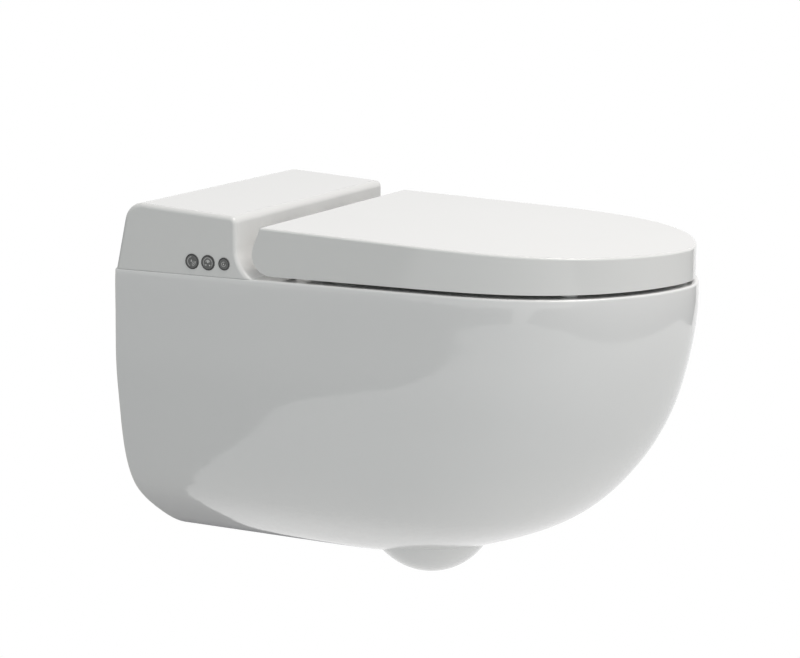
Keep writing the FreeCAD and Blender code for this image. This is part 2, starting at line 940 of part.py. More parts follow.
def housing_form(name, inset, width):
    """The housing's solid, or its inner space when inset by the wall."""
    wall = "housing_wall" if inset else "0"
    top = f"(housing_top_rear - {TOP_WALL})" if inset else "housing_top_rear"
    rear = REAR_WALL if inset else "0"
    corner_up = f"(({top} - {TOP_FALL} * {rear}) / (1 + {TOP_FALL} * {LEAN}))"
    front = f"(housing_front_out - {wall})"
    cove = f"(housing_cove_radius + {wall})"
    cove_low = "(housing_cove_high + cove_run_on)"
    foot = f"(housing_front_out + housing_cove_radius - sqrt({cove}^2 - {cove_low}^2))"
    drop = "(cove_run_on + 2 * overrun)"
    points = [
        (f"-{rear} - {LEAN} * {corner_up}", f"rim_height + {corner_up}"),
        (f"-{front}", f"rim_height + {top} - {TOP_FALL} * {front}"),
        (f"-{front}", "rim_height + housing_cove_high"),
        (f"-{foot}", "rim_height - cove_run_on"),
        (f"-{foot}", f"rim_height - {drop}"),
        (f"-{rear} + {LEAN} * {drop}", f"rim_height - {drop}"),
    ]
    body = new_body(name)
    sketch = outline_sketch(body, f"{name}_outline", "YZ_Plane", points, {2: (cove, 1)})
    solid = pad(body, sketch, width, both=True)
    doc.recompute()
    top_level = size(f"rim_height + {corner_up}")
    rear_top = edges_near(solid.Shape, lambda spot: abs(spot.z - top_level) < EXACT)
    rear_top = [e for e in rear_top if solid.Shape.getElement(e).BoundBox.XLength > EXACT]
    turned = rounded(body, f"{name}_rear_round", solid, rear_top, f"housing_rear_round - {wall}")
    doc.recompute()
    front_y = -size(front)
    front_z = size(f"rim_height + {top} - {TOP_FALL} * {front}")
    nose = edges_near(
        turned.Shape,
        lambda spot: abs(spot.y - front_y) < EXACT and abs(spot.z - front_z) < EXACT,
    )
    return body, rounded(body, f"{name}_front_round", turned, nose, f"housing_front_round - {wall}")


def make_cover():
    body, last = housing_form("cover_form", False, "2 * pan_half_width")
    doc.recompute()
    side = size("pan_half_width")
    low = size("rim_height")
    rims = edges_near(last.Shape, lambda spot: abs(abs(spot.x) - side) < EXACT)
    rims = [e for e in rims if last.Shape.getElement(e).BoundBox.ZMax > low]
    rounded(body, "cover_side_round", last, rims, "housing_edge_round")
    space, _ = housing_form("cover_space", True, "2 * (pan_half_width - housing_wall)")
    below = block(
        "cover_below",
        ("-pan_half_width - overrun", "-pan_length", "rim_height - cove_run_on - 3 * overrun"),
        ("2 * (pan_half_width + overrun)", "pan_length + overrun", "cove_run_on + 3 * overrun"),
    )
    tools = [space, below]
    for number, radius in BUTTONS:
        tools.append(
            rod(
                f"button_hole_{number}",
                f"{radius} + button_gap",
                "housing_wall + 2 * overrun",
                ("-pan_half_width - overrun", button_out(number), "rim_height + button_rise"),
                "x",
            )
        )
    shell = carved("cover_shell", body, tools)
    bosses = []
    pilots = []
    for side, word in SIDES:
        for place, across, out in (
            ("near", "boss_side", "boss_near"),
            ("far", "boss_far_side", "boss_far"),
        ):
            spot = (signed(side, across), f"-{out}", BASE_TOP)
            bosses.append(
                rod(f"boss_{place}_{word}", "boss_radius", "boss_top - base_thick", spot)
            )
            pilots.append(
                rod(f"pilot_{place}_{word}", "screw_radius + screw_play", "screw_length", spot)
            )
        low, wide = span(side, "boss_side", "pan_half_width - housing_wall / 2")
        bosses.append(
            block(
                f"boss_rib_near_{word}",
                (low, "-boss_near - rib_thick / 2", BASE_TOP),
                (wide, "rib_thick", "boss_top - base_thick"),
            )
        )
        low, wide = span(side, "boss_far_side - rib_thick / 2", "boss_far_side + rib_thick / 2")
        bosses.append(
            block(
                f"boss_rib_far_{word}",
                (low, "-housing_front_out + housing_wall / 2", BASE_TOP),
                (wide, "housing_front_out - housing_wall / 2 - boss_far", "boss_top - base_thick"),
            )
        )
    return carved("cover", joined("cover_bossed", [shell] + bosses), pilots)


BUTTONS = ((1, "button_radius"), (2, "button_radius"), (3, "button_small_radius"))


def button_out(number):
    return f"-(button_first + {number - 1} * button_step)"


keep(make_cover(), "housing_cover")


def make_base():
    """The floor of the housing with its slot, holes and board posts."""
    low, wide = f"-{BASE_SIDE}", f"2 * {BASE_SIDE}"
    plate = block(
        "base_plate",
        (low, f"-{BASE_FRONT_OUT}", "rim_height"),
        (wide, f"{BASE_FRONT_OUT} - {BASE_REAR}", "base_thick"),
    )
    posts = []
    for across in ("board_side + post_inset", "board_side + board_width - post_inset"):
        for out in ("board_near + post_inset", "board_near + board_depth - post_inset"):
            posts.append(
                rod(
                    f"board_post_{len(posts)}",
                    "post_radius",
                    "board_rise",
                    (f"-({across})", f"-({out})", BASE_TOP),
                )
            )
    cut_low = "rim_height - overrun"
    cut_high = "base_thick + 2 * overrun"
    tools = [
        block(
            "base_slot",
            ("-slot_left", "-slot_far", cut_low),
            ("slot_left + slot_right", "slot_far - slot_near", cut_high),
        ),
        rod(
            "base_fitting_hole",
            "fitting_opening / 2 - bolt_play",
            cut_high,
            ("fitting_side", "-fitting_out", cut_low),
        ),
        rod(
            "base_gland_hole",
            "gland_radius + bolt_play",
            cut_high,
            ("-gland_side", "-gland_out", cut_low),
        ),
    ]
    for side, word in SIDES:
        spot = (signed(side, "base_bolt_side"), "-base_bolt_out", cut_low)
        tools.append(rod(f"base_bolt_way_{word}", "bolt_radius + screw_play", cut_high, spot))
        for place, across, out in (
            ("near", "boss_side", "boss_near"),
            ("far", "boss_far_side", "boss_far"),
        ):
            spot = (signed(side, across), f"-{out}", cut_low)
            tools.append(
                rod(f"screw_way_{place}_{word}", "screw_radius + screw_play", cut_high, spot)
            )
            tools.append(
                rod(
                    f"screw_sink_{place}_{word}",
                    "screw_head + bolt_play",
                    "screw_head_thick + screw_play + overrun",
                    spot,
                )
            )
    return carved("base", joined("base_posted", [plate] + posts), tools)


keep(make_base(), "housing_base")


def make_screw(name, across, out):
    """A screw up through the base into a boss, its head sunk in the base."""
    return joined(
        name,
        [
            rod(f"{name}_head", "screw_head", "screw_head_thick", (across, out, "rim_height")),
            rod(f"{name}_shank", "screw_radius", "base_thick + screw_grip", (across, out, "rim_height")),
        ],
    )


def cover_screws():
    found = []
    for side, word in SIDES:
        for place, across, out in (
            ("near", "boss_side", "-boss_near"),
            ("far", "boss_far_side", "-boss_far"),
        ):
            found.append(make_screw(f"screw_{place}_{word}", signed(side, across), out))
    return found


keep(group("screws", cover_screws()), "cover_screws")


def make_bolt(name, across, out, seat):
    """A bolt down through a foot and the deck, with its nut under the deck."""
    below = f"{DECK_LOW} - nut_thick"
    return joined(
        name,
        [
            rod(f"{name}_head", "bolt_head", "bolt_head_thick", (across, out, seat)),
            rod(f"{name}_shank", "bolt_radius", f"{seat} - ({below})", (across, out, below)),
            rod(f"{name}_nut", "nut_radius", "nut_thick", (across, out, below)),
        ],
    )


keep(
    group(
        "base_bolt_pair",
        [
            make_bolt(f"base_bolt_{word}", signed(side, "base_bolt_side"), "-base_bolt_out", BASE_TOP)
            for side, word in SIDES
        ],
    ),
    "base_bolts",
)


# Hinge brackets, dampers and pins on the deck

AXIS_UP = "(rim_height + hinge_rise)"


def make_bracket(side, word):
    """A foot on the deck, a post and a clamp round the damper."""
    foot_low, foot_wide = span(side, "bracket_in", "foot_out")
    low, wide = span(side, "bracket_in", "bracket_out")
    form = joined(
        f"bracket_form_{word}",
        [
            block(
                f"bracket_foot_{word}",
                (foot_low, "-foot_far", "rim_height"),
                (foot_wide, "foot_far - foot_near", "foot_thick"),
            ),
            block(
                f"bracket_post_{word}",
                (low, "-hinge_out - damper_radius", "rim_height"),
                (wide, "2 * damper_radius", "hinge_rise"),
            ),
            rod(f"bracket_eye_{word}", "bracket_radius", wide, (low, "-hinge_out", AXIS_UP), "x"),
        ],
    )
    bore = rod(
        f"bracket_bore_{word}",
        "damper_radius + pin_fit",
        f"{wide} + 2 * overrun",
        (f"{low} - overrun", "-hinge_out", AXIS_UP),
        "x",
    )
    bolt_way = rod(
        f"bracket_bolt_way_{word}",
        "bolt_radius + screw_play",
        "foot_thick + 2 * overrun",
        (signed(side, "hinge_bolt_side"), "-hinge_bolt_out", "rim_height - overrun"),
    )
    return carved(f"bracket_{word}", form, [bore, bolt_way])


def make_damper(side, word):
    """A barrel damper held in the bracket, bored at its outer end for the pin."""
    low, wide = span(side, "damper_in", "damper_out")
    barrel = rod(f"damper_barrel_{word}", "damper_radius", wide, (low, "-hinge_out", AXIS_UP), "x")
    low, wide = span(side, "pin_in", "damper_out + overrun")
    socket = rod(
        f"damper_socket_{word}", "pin_radius + pin_fit", wide, (low, "-hinge_out", AXIS_UP), "x"
    )
    return carved(f"damper_{word}", barrel, [socket])


for side_sign, side_word in SIDES:
    keep(make_bracket(side_sign, side_word), f"hinge_bracket_{side_word}")
    keep(make_damper(side_sign, side_word), f"hinge_damper_{side_word}")
    pin_low, pin_wide = span(side_sign, "pin_in", "pin_out")
    pin = rod(f"pin_{side_word}", "pin_radius", pin_wide, (pin_low, "-hinge_out", AXIS_UP), "x")
    keep(pin, f"hinge_pin_{side_word}")

keep(
    group(
        "hinge_bolt_pair",
        [
            make_bolt(
                f"hinge_bolt_{word}",
                signed(side, "hinge_bolt_side"),
                "-hinge_bolt_out",
                "rim_height + foot_thick",
            )
            for side, word in SIDES
        ],
    ),
    "hinge_bolts",
)


# Lid and seat


def lid_level(out, under=0.0):
    """Height of the lid's top plane, or of a plane that far under it, at a distance out."""
    fall = (size("lid_top_rear") - size("lid_top_nose")) / (
        size("lid_length") - size("lid_rear_out")
    )
    steep = math.sqrt(1 + fall**2)
    rise = size("lid_top_rear") - (out - size("lid_rear_out")) * fall
    return size("rim_height") + rise - under * steep


def lid_top_point(across, out, under):
    """A point on the plane that lies a distance under the lid's top."""
    return Vector(across, -out, lid_level(out, under))


def lid_profile(inset, end_angle):
    """The lid's side profile as a prism across X: leaning rear, round lower rear, open top."""
    reach = size("lid_length") + size("overrun") * 4
    left = -2 * size("pan_half_width")
    axis = Vector(left, -size("hinge_out"), size("rim_height") + size("hinge_rise"))
    full = size("hinge_rise") - size("lid_gap")
    radius = full - inset
    corner = lid_top_point(left, size("lid_rear_out"), 0)
    arm = corner - axis
    touch_angle = math.atan2(arm.z, arm.y) - math.acos(full / arm.Length)

    def on_circle(angle, distance):
        return axis + Vector(0, math.cos(angle), math.sin(angle)) * distance

    touch = on_circle(touch_angle, radius)
    lean = (corner - on_circle(touch_angle, full)).normalize()
    above = touch + lean * (arm.Length + size("overrun") * 2)
    end = on_circle(-end_angle, radius)
    middle = on_circle((touch_angle - end_angle) / 2, radius)
    edges = [
        Part.LineSegment(above, touch).toShape(),
        Part.Arc(touch, middle, end).toShape(),
    ]
    low = size("rim_height") + size("lid_gap")
    if inset:
        out = on_circle(-end_angle, full + size("overrun") * 4)
        low = out.z
        edges.append(Part.LineSegment(end, out).toShape())
        end = out
    nose_low = Vector(left, -reach, low)
    nose_high = Vector(left, -reach, above.z)
    edges.append(Part.LineSegment(end, nose_low).toShape())
    edges.append(Part.LineSegment(nose_low, nose_high).toShape())
    edges.append(Part.LineSegment(nose_high, above).toShape())
    face = Part.Face(Part.Wire(edges))
    return face.extrude(Vector(4 * size("pan_half_width"), 0, 0))


def lid_plan(inset):
    """The lid's drafted outline as a solid, from under its edge up to its top plane."""
    low = size("rim_height") - size("overrun") * 2
    width = size("lid_half_width_high") - inset
    draft = (size("lid_half_width_high") - size("lid_half_width_low")) / (
        size("lid_top_rear") - size("lid_gap")
    )
    rear = size("housing_front_out")
    straight = size("lid_length") * STRAIGHT_SHARE
    drop = size("lid_top_rear") + size("overrun") * 2
    wires = [
        nose_outline(width - draft * drop, size("lid_length") - inset, low, rear, straight),
        nose_outline(
            width, size("lid_length") - inset, lambda out: lid_level(out, inset), rear, straight
        ),
    ]
    return Part.makeLoft(wires, True, True)


def edges_on_slope(shape, under):
    """Edges that lie in the plane a distance under the lid's top."""
    found = []
    for edge in shape.Edges:
        spots = [vertex.Point for vertex in edge.Vertexes]
        spots.append(edge.valueAt((edge.FirstParameter + edge.LastParameter) / 2))
        if all(abs(spot.z - lid_level(-spot.y, under)) < EXACT * 10 for spot in spots):
            found.append(edge)
    return found


def make_lid_form():
    form = lid_plan(0).common(lid_profile(0, math.pi / 2)).Solids[0]
    return form.makeFillet(size("lid_round"), edges_on_slope(form, 0))


def make_lid_space():
    wall = size("lid_wall")
    return lid_plan(wall).common(lid_profile(wall, math.radians(size("lid_wall_end"))))


lid_form = shaped("lid_form", make_lid_form())
lid_space = shaped("lid_space", make_lid_space())


def make_lid():
    extras = []
    tools = []
    for side, word in SIDES:
        low, wide = span(side, "lid_knuckle_in", "lid_knuckle_out")
        extras.append(
            rod(f"lid_knuckle_{word}", "knuckle_radius", wide, (low, "-hinge_out", AXIS_UP), "x")
        )
        extras.append(
            block(
                f"lid_web_{word}",
                (low, "-hinge_out - knuckle_radius", AXIS_UP),
                (wide, "2 * knuckle_radius", "lid_top_rear - hinge_rise - lid_wall + web_bite"),
            )
        )
        tools.append(
            rod(
                f"lid_bore_{word}",
                "pin_radius + pin_fit",
                f"{wide} + 2 * overrun",
                (f"{low} - overrun", "-hinge_out", AXIS_UP),
                "x",
            )
        )
        low, wide = span(side, "notch_in", "notch_out")
        tools.append(
            block(
                f"lid_notch_{word}",
                (low, "-hinge_out", "rim_height"),
                (wide, "hinge_rise + overrun", "hinge_rise + notch_rise"),
            )
        )
    hollow = carved("lid_hollow", lid_form, [lid_space])
    return carved("lid", joined("lid_knuckled", [hollow] + extras), tools)


keep(make_lid(), "lid_shell")


def make_seat_form():
    """A ring under the lid, its top parallel to the lid's."""
    low = size("rim_height") + size("seat_low")
    tall = size("lid_top_rear")
    under = size("seat_under_lid")
    outline = nose_outline(
        size("seat_half_width"),
        size("seat_length"),
        low,
        size("seat_rear_out"),
        size("lid_length") * STRAIGHT_SHARE,
    )
    ring = Part.Face(outline).extrude(Vector(0, 0, tall))
    reach = size("pan_length") + size("overrun")
    left = -size("pan_half_width")
    above = Part.makePolygon(
        [
            lid_top_point(left, 0, under),
            lid_top_point(left, reach, under),
            lid_top_point(left, reach, -tall),
            lid_top_point(left, 0, -tall),
            lid_top_point(left, 0, under),
        ]
    )
    ring = ring.cut(Part.Face(above).extrude(Vector(2 * size("pan_half_width"), 0, 0)))
    hole = Part.Face(
        oval(
            size("seat_hole_middle"),
            size("seat_hole_half_length"),
            size("seat_hole_half_width"),
            low - size("overrun"),
        )
    ).extrude(Vector(0, 0, 2 * tall))
    ring = ring.cut(hole)
    return ring.makeFillet(size("seat_round"), edges_on_slope(ring, under))


seat_form = shaped("seat_form", make_seat_form())


def make_seat():
    arms = []
    tools = []
    for side, word in SIDES:
        low, wide = span(side, "seat_knuckle_in", "seat_knuckle_out")
        arms.append(
            rod(f"seat_knuckle_{word}", "knuckle_radius", wide, (low, "-hinge_out", AXIS_UP), "x")
        )
        arms.append(
            block(
                f"seat_arm_{word}",
                (low, "-seat_rear_out - seat_round", f"{AXIS_UP} - arm_drop"),
                (wide, "seat_rear_out + seat_round - hinge_out", "arm_drop + arm_rise"),
            )
        )
        tools.append(
            rod(
                f"seat_bore_{word}",
                "pin_radius + pin_fit",
                f"{wide} + 2 * overrun",
                (f"{low} - overrun", "-hinge_out", AXIS_UP),
                "x",
            )
        )
    return carved("seat", joined("seat_armed", [seat_form] + arms), tools)


keep(make_seat(), "seat_ring")

BUMPERS = (("rear", "bumper_side", "bumper_rear_out"), ("front", "bumper_front_side", "bumper_front_out"))


def bumper_rods(name, low, height):
    found = []
    for side, word in SIDES:
        for place, across, out in BUMPERS:
            spot = (signed(side, across), f"-{out}", low)
            found.append(rod(f"{name}_{place}_{word}", "bumper_radius", height, spot))
    return found


keep(
    group(
        "seat_feet",
        bumper_rods("seat_foot", "rim_height + bumper_gap", "seat_low - bumper_gap"),
    ),
    "seat_bumpers",
)


def make_lid_bumpers():
    """Pads under the lid, trimmed between its inner face and the seat's top."""
    left = -size("pan_half_width")
    reach = size("pan_length")
    low = size("seat_under_lid") - size("bumper_gap")
    wall = size("lid_wall")
    slab = Part.Face(
        Part.makePolygon(
            [
                lid_top_point(left, 0, low),
                lid_top_point(left, reach, low),
                lid_top_point(left, reach, wall),
                lid_top_point(left, 0, wall),
                lid_top_point(left, 0, low),
            ]
        )
    ).extrude(Vector(2 * size("pan_half_width"), 0, 0))
    slab_item = shaped("lid_pad_slab", slab)
    pads = []
    for item in bumper_rods("lid_pad", "rim_height", "lid_top_rear"):
        common = doc.addObject("Part::Common", f"{item.Name}_trim")
        common.Base = item
        common.Tool = slab_item
        pads.append(common)
        slab_item = shaped(f"lid_pad_slab_{len(pads)}", slab)
    doc.removeObject(slab_item.Name)
    return pads


keep(group("lid_pads", make_lid_bumpers()), "lid_bumpers")


# Nozzle, in the wand's frame: Y runs back from the tip, Z square to it

PITCH_LINE = "(wand_flat + rack_bar + tooth_root)"
GEAR_RADIUS = "(gear_module * gear_teeth / 2)"
PINION_SIDE = f"({PITCH_LINE} + {GEAR_RADIUS})"
MOTOR_SIDE = f"({PINION_SIDE} + motor_offset)"


def make_wand():
    """A round wand with a flat for its rack and a water way to the tip."""
    bar = rod("wand_bar", "wand_radius", "wand_length", ("0", "0", "0"), "y")
    flat = block(
        "wand_flat_cut",
        ("wand_flat", "-overrun", "-wand_radius"),
        ("wand_radius", "wand_length + 2 * overrun", "2 * wand_radius"),
    )
    way = rod(
        "wand_way", "hose_bore", "wand_length + 2 * overrun", ("0", "-overrun", "0"), "y"
    )
    return nozzle_framed(carved("wand", bar, [flat, way]))


keep(make_wand(), "nozzle_wand")


def make_tip():
    """A cap on the wand's end with a jet hole through its upper side."""
    cap = rod("tip_cap", "cap_radius", "cap_thick", ("0", "-cap_thick", "0"), "y")
    chamber = rod("tip_chamber", "hose_bore", "chamber_deep", ("0", "-chamber_deep", "0"), "y")
    jets = [
        rod(
            f"tip_jet_{number}",
            "jet_radius",
            "cap_radius + overrun",
            (f"{offset} * jet_step", "-cap_thick / 2", "0"),
        )
        for number, offset in enumerate((-1, 0, 1))
    ]
    return nozzle_framed(carved("tip", cap, [chamber] + jets))


keep(make_tip(), "nozzle_tip")


def make_rack():
    """A bar with straight teeth, one pitch apart, facing the pinion."""
    pitch = math.pi * size("gear_module")
    count = int((size("nozzle_travel") + size("rack_spare")) / pitch)
    foot = size("wand_flat")
    root = size(PITCH_LINE) - size("tooth_root")
    crest = size(PITCH_LINE) + size("tooth_rise")
    level = -size("rack_height") / 2
    low, high = size("tooth_half_low"), size("tooth_half_high")
    start = size("pinion_back") - pitch
    end = start + count * pitch
    points = [Vector(foot, start, level), Vector(root, start, level)]
    for index in range(count):
        centre = start + (index + 1 / 2) * pitch
        points += [
            Vector(root, centre - low, level),
            Vector(crest, centre - high, level),
            Vector(crest, centre + high, level),
            Vector(root, centre + low, level),
        ]
    points += [Vector(root, end, level), Vector(foot, end, level), points[0]]
    bar = Part.Face(Part.makePolygon(points)).extrude(Vector(0, 0, size("rack_height")))
    return nozzle_framed(shaped("rack", bar))


keep(make_rack(), "nozzle_rack")


def make_pinion():
    """A toothed wheel with a stub shaft that runs in the guide's plate."""
    count = size("gear_teeth")
    radius = size(GEAR_RADIUS)
    points = []
    for index in range(int(count)):
        middle = math.pi + index * 2 * math.pi / count
        for rise, half in (
            (-size("tooth_root"), -size("tooth_half_low")),
            (size("tooth_rise"), -size("tooth_half_high")),
            (size("tooth_rise"), size("tooth_half_high")),
            (-size("tooth_root"), size("tooth_half_low")),
        ):
            reach = radius + rise
            angle = middle + half / reach
            points.append(Vector(reach * math.cos(angle), reach * math.sin(angle), 0))
    points.append(points[0])
    thick = size("pinion_thick")
    wheel = Part.Face(Part.makePolygon(points)).extrude(Vector(0, 0, thick))
    wheel.translate(Vector(size(PINION_SIDE), size("pinion_back"), -thick / 2))
    shaft = Part.makeCylinder(
        size("shaft_radius"),
        size("shaft_rise"),
        Vector(size(PINION_SIDE), size("pinion_back"), 0),
    )
    return nozzle_framed(shaped("pinion", wheel.fuse(shaft).removeSplitter()))


keep(make_pinion(), "nozzle_pinion")


def make_guide():
    """A slotted tube for the wand, a plate for its motor and a foot on the base."""
    tube_form = rod("guide_tube", "guide_outer", "guide_end - guide_start", ("0", "guide_start", "0"), "y")
    plate = block(
        "guide_plate",
        ("plate_in", "pinion_back - plate_half", "plate_low"),
        (f"{MOTOR_SIDE} + motor_radius - plate_in", "2 * plate_half", "plate_thick"),
    )
    bore = rod(
        "guide_bore_cut",
        "guide_bore",
        "guide_end + 2 * overrun",
        ("0", "guide_start - overrun", "0"),
        "y",
    )
    slot = block(
        "guide_slot_cut",
        ("0", "guide_slot_start", "-guide_slot"),
        ("guide_outer + overrun", "guide_end + overrun", "2 * guide_slot"),
    )
    shaft_way = rod(
        "guide_shaft_way",
        "shaft_radius + shaft_way_play",
        "plate_thick + 2 * overrun",
        (PINION_SIDE, "pinion_back", "plate_low - overrun"),
    )
    upper = nozzle_framed(
        carved("guide_upper", joined("guide_form", [tube_form, plate]), [bore, slot, shaft_way])
    )
    foot = block(
        "guide_foot",
        ("-guide_foot_half", "-guide_foot_far", BASE_TOP),
        (
            "2 * guide_foot_half",
            "guide_foot_far - guide_foot_near",
            "guide_foot_top - base_thick",
        ),
    )
    return joined("guide", [upper, foot])


keep(make_guide(), "nozzle_guide")


def make_motor():
    """A geared can on the guide's plate, its shaft off centre towards the wand."""
    can = rod(
        "motor_can",
        "motor_radius",
        "motor_height",
        (MOTOR_SIDE, "pinion_back", "plate_low + plate_thick"),
    )
    bearing = rod(
        "motor_bearing",
        "shaft_radius + shaft_fit",
        "shaft_rise - plate_low - plate_thick + shaft_end_gap + overrun",
        (PINION_SIDE, "pinion_back", "plate_low + plate_thick - overrun"),
    )
    return nozzle_framed(carved("motor", can, [bearing]))


keep(make_motor(), "nozzle_motor")


# Water and power gear on the base


def make_heater():
    """A flat tank with rounded upright corners."""
    body = new_body("heater")
    sketch = outline_sketch(
        body,
        "heater_plan",
        "XY_Plane",
        [
            ("heater_side", "-heater_near"),
            ("heater_side + heater_width", "-heater_near"),
            ("heater_side + heater_width", "-heater_near - heater_depth"),
            ("heater_side", "-heater_near - heater_depth"),
        ],
    )
    tank = pad(body, sketch, "heater_height")
    doc.recompute()
    uprights = [
        name
        for name in edges_near(tank.Shape, lambda spot: True)
        if tank.Shape.getElement(name).BoundBox.ZLength > EXACT
    ]
    rounded(body, "heater_corners", tank, uprights, "heater_round")
    body.setExpression("Placement.Base.z", tied(BASE_TOP))
    return body


keep(make_heater(), "water_heater")

pump_level = f"({BASE_TOP} + pump_foot + pump_radius)"
pump_form = joined(
    "pump",
    [
        rod(
            "pump_motor",
            "pump_radius",
            "pump_length",
            ("pump_side", "-pump_near - pump_length", pump_level),
            "y",
        ),
        block(
            "pump_head",
            ("pump_side - pump_radius", "-pump_near - pump_length - pump_head", f"{BASE_TOP} + pump_foot"),
            ("2 * pump_radius", "pump_head", "2 * pump_radius"),
        ),
        block(
            "pump_cradle",
            ("pump_side - pump_radius", "-pump_near - pump_length - pump_head", BASE_TOP),
            ("2 * pump_radius", "pump_length + pump_head", "pump_foot + pump_grip"),
        ),
    ],
)
keep(pump_form, "water_pump")


def flanged(name, radius, flange, flange_thick, drop, bore, across, out):
    """A tube down through the base with a flange on the base's top."""
    form = joined(
        f"{name}_form",
        [
            rod(f"{name}_tube", radius, drop, (across, out, f"{BASE_TOP} - {drop}")),
            rod(f"{name}_flange", flange, flange_thick, (across, out, BASE_TOP)),
        ],
    )
    way = rod(
        f"{name}_way",
        bore,
        f"{drop} + {flange_thick} + 2 * overrun",
        (across, out, f"{BASE_TOP} - {drop} - overrun"),
    )
    return carved(name, form, [way])


keep(
    flanged(
        "inlet_fitting",
        "fitting_radius",
        "fitting_flange",
        "fitting_flange_thick",
        "fitting_drop",
        "fitting_bore",
        "fitting_side",
        "-fitting_out",
    ),
    "water_inlet_fitting",
)
keep(
    flanged(
        "gland",
        "gland_radius",
        "gland_flange",
        "gland_flange_thick",
        "gland_drop",
        "gland_bore",
        "-gland_side",
        "-gland_out",
    ),
    "cable_gland",
)

valve_floor = f"({BASE_TOP} + fitting_flange_thick)"
valve_form = joined(
    "valve",
    [
        block(
            "valve_block",
            ("fitting_side - valve_width / 2", "-fitting_out - valve_depth / 2", valve_floor),
            ("valve_width", "valve_depth", "valve_height"),
        ),
        rod(
            "valve_coil",
            "valve_width / 2 - housing_wall",
            "valve_coil_height",
            ("fitting_side", "-fitting_out", f"{valve_floor} + valve_height"),
        ),
    ],
)
keep(valve_form, "inlet_valve")


def straight_hose(name, start, length, axis):
    outer = rod(f"{name}_tube", "hose_radius", length, start, axis)
    inner = rod(f"{name}_way", "hose_bore", length, start, axis)
    return carved(name, outer, [inner])


keep(
    straight_hose(
        "heater_hose",
        (
            "fitting_side",
            "-fitting_out + valve_depth / 2",
            f"{valve_floor} + valve_height / 2",
        ),
        "fitting_out - valve_depth / 2 - heater_near - heater_depth",
        "y",
    ),
    "heater_inlet_hose",
)
keep(
    straight_hose(
        "feed_hose",
        (
            "pump_side + pump_radius",
            "-pump_near - pump_length - pump_head / 2",
            f"{pump_level}",
        ),
        "heater_side - pump_side - pump_radius",
        "x",
    ),
    "pump_feed_hose",
)

keep(
    block(
        "supply",
        ("-supply_side - supply_width", "-supply_near - supply_depth", BASE_TOP),
        ("supply_width", "supply_depth", "supply_height"),
    ),
    "power_supply",
)


def make_board():
    """The control board on its posts, with relays and a connector row."""
    corner = ("-board_side - board_width", "-board_near - board_depth", f"{BASE_TOP} + board_rise")
    pieces = [block("board_plate", corner, ("board_width", "board_depth", "board_thick"))]
    level = f"{BASE_TOP} + board_rise + board_thick / 2"
    for index in range(RELAYS):
        pieces.append(
            block(
                f"board_relay_{index}",
                (
                    f"-board_side - board_width + relay_inset + relay_step * {index}",
                    "-board_near - board_depth + relay_inset",
                    level,
                ),
                ("relay_width", "relay_depth", "relay_rise"),
            )
        )
    pieces.append(
        block(
            "board_connector",
            (
                "-board_side - board_width + relay_inset",
                "-board_near - relay_inset - connector_depth",
                level,
            ),
            ("board_width - 2 * relay_inset", "connector_depth", "connector_rise"),
        )
    )
    return joined("board", pieces)


keep(make_board(), "control_board")


# Buttons

WALL_IN = "(pan_half_width - housing_wall)"
LIP_START = f"({WALL_IN} - button_lip_gap)"
STEM_START = f"({LIP_START} - button_lip_thick)"
HOLDER_START = f"({STEM_START} - button_travel - holder_room)"
STEM_END = f"({STEM_START} - button_stem_length)"
SWITCH_START = f"({STEM_END} - button_travel - switch_gap)"
BUTTON_UP = "(rim_height + button_rise)"


def make_button(number, radius):
    """A cap flush with the housing's side, a lip behind the wall and a stem."""
    out = button_out(number)
    return joined(
        f"button_{number}_form",
        [
            rod(
                f"button_cap_{number}",
                radius,
                f"pan_half_width + button_proud - {LIP_START}",
                ("-pan_half_width - button_proud", out, BUTTON_UP),
                "x",
            ),
            rod(
                f"button_lip_{number}",
                f"{radius} + button_lip",
                "button_lip_thick",
                (f"-{LIP_START}", out, BUTTON_UP),
                "x",
            ),
            rod(
                f"button_stem_{number}",
                "button_stem",
                "button_stem_length",
                (f"-{STEM_START}", out, BUTTON_UP),
                "x",
            ),
        ],
    )


for button_number, button_size in BUTTONS:
    keep(make_button(button_number, button_size), f"button_{button_number}")

HOLDER_LOW = "-(button_first + 2 * button_step) - holder_margin"
HOLDER_LONG = "2 * button_step + 2 * holder_margin"
HOLDER_TALL = "2 * (button_rise - base_thick)"


def make_holder():
    plate = block(
        "holder_plate",
        (f"-{HOLDER_START}", HOLDER_LOW, BASE_TOP),
        ("holder_thick", HOLDER_LONG, HOLDER_TALL),
    )
    tools = [
        rod(
            f"holder_hole_{number}",
            "button_stem + holder_fit",
            "holder_thick + 2 * overrun",
            (f"-{HOLDER_START} - overrun", button_out(number), BUTTON_UP),
            "x",
        )
        for number, _ in BUTTONS
    ]
    return carved("holder", plate, tools)


keep(make_holder(), "button_holder")


def make_switches():
    plate = block(
        "switch_plate",
        (f"-{SWITCH_START} + switch_rise", HOLDER_LOW, BASE_TOP),
        ("board_thick", HOLDER_LONG, HOLDER_TALL),
    )
    switches = [
        block(
            f"switch_{number}",
            (
                f"-{SWITCH_START}",
                f"{button_out(number)} - switch_size / 2",
                f"{BUTTON_UP} - switch_size / 2",
            ),
            ("switch_rise + board_thick / 2", "switch_size", "switch_size"),
        )
        for number, _ in BUTTONS
    ]
    return joined("switches", [plate] + switches)


keep(make_switches(), "switch_board")


# Build, check and write

doc.recompute()
for item in doc.Objects:
    if "Invalid" in item.State or "Error" in item.State:
        raise RuntimeError(f"{item.Name} did not build: {item.State}")
for item in parts:
    if item.Shape.isNull() or not item.Shape.isValid() or not item.Shape.Solids:
        raise RuntimeError(f"{item.Label} has no sound shape")

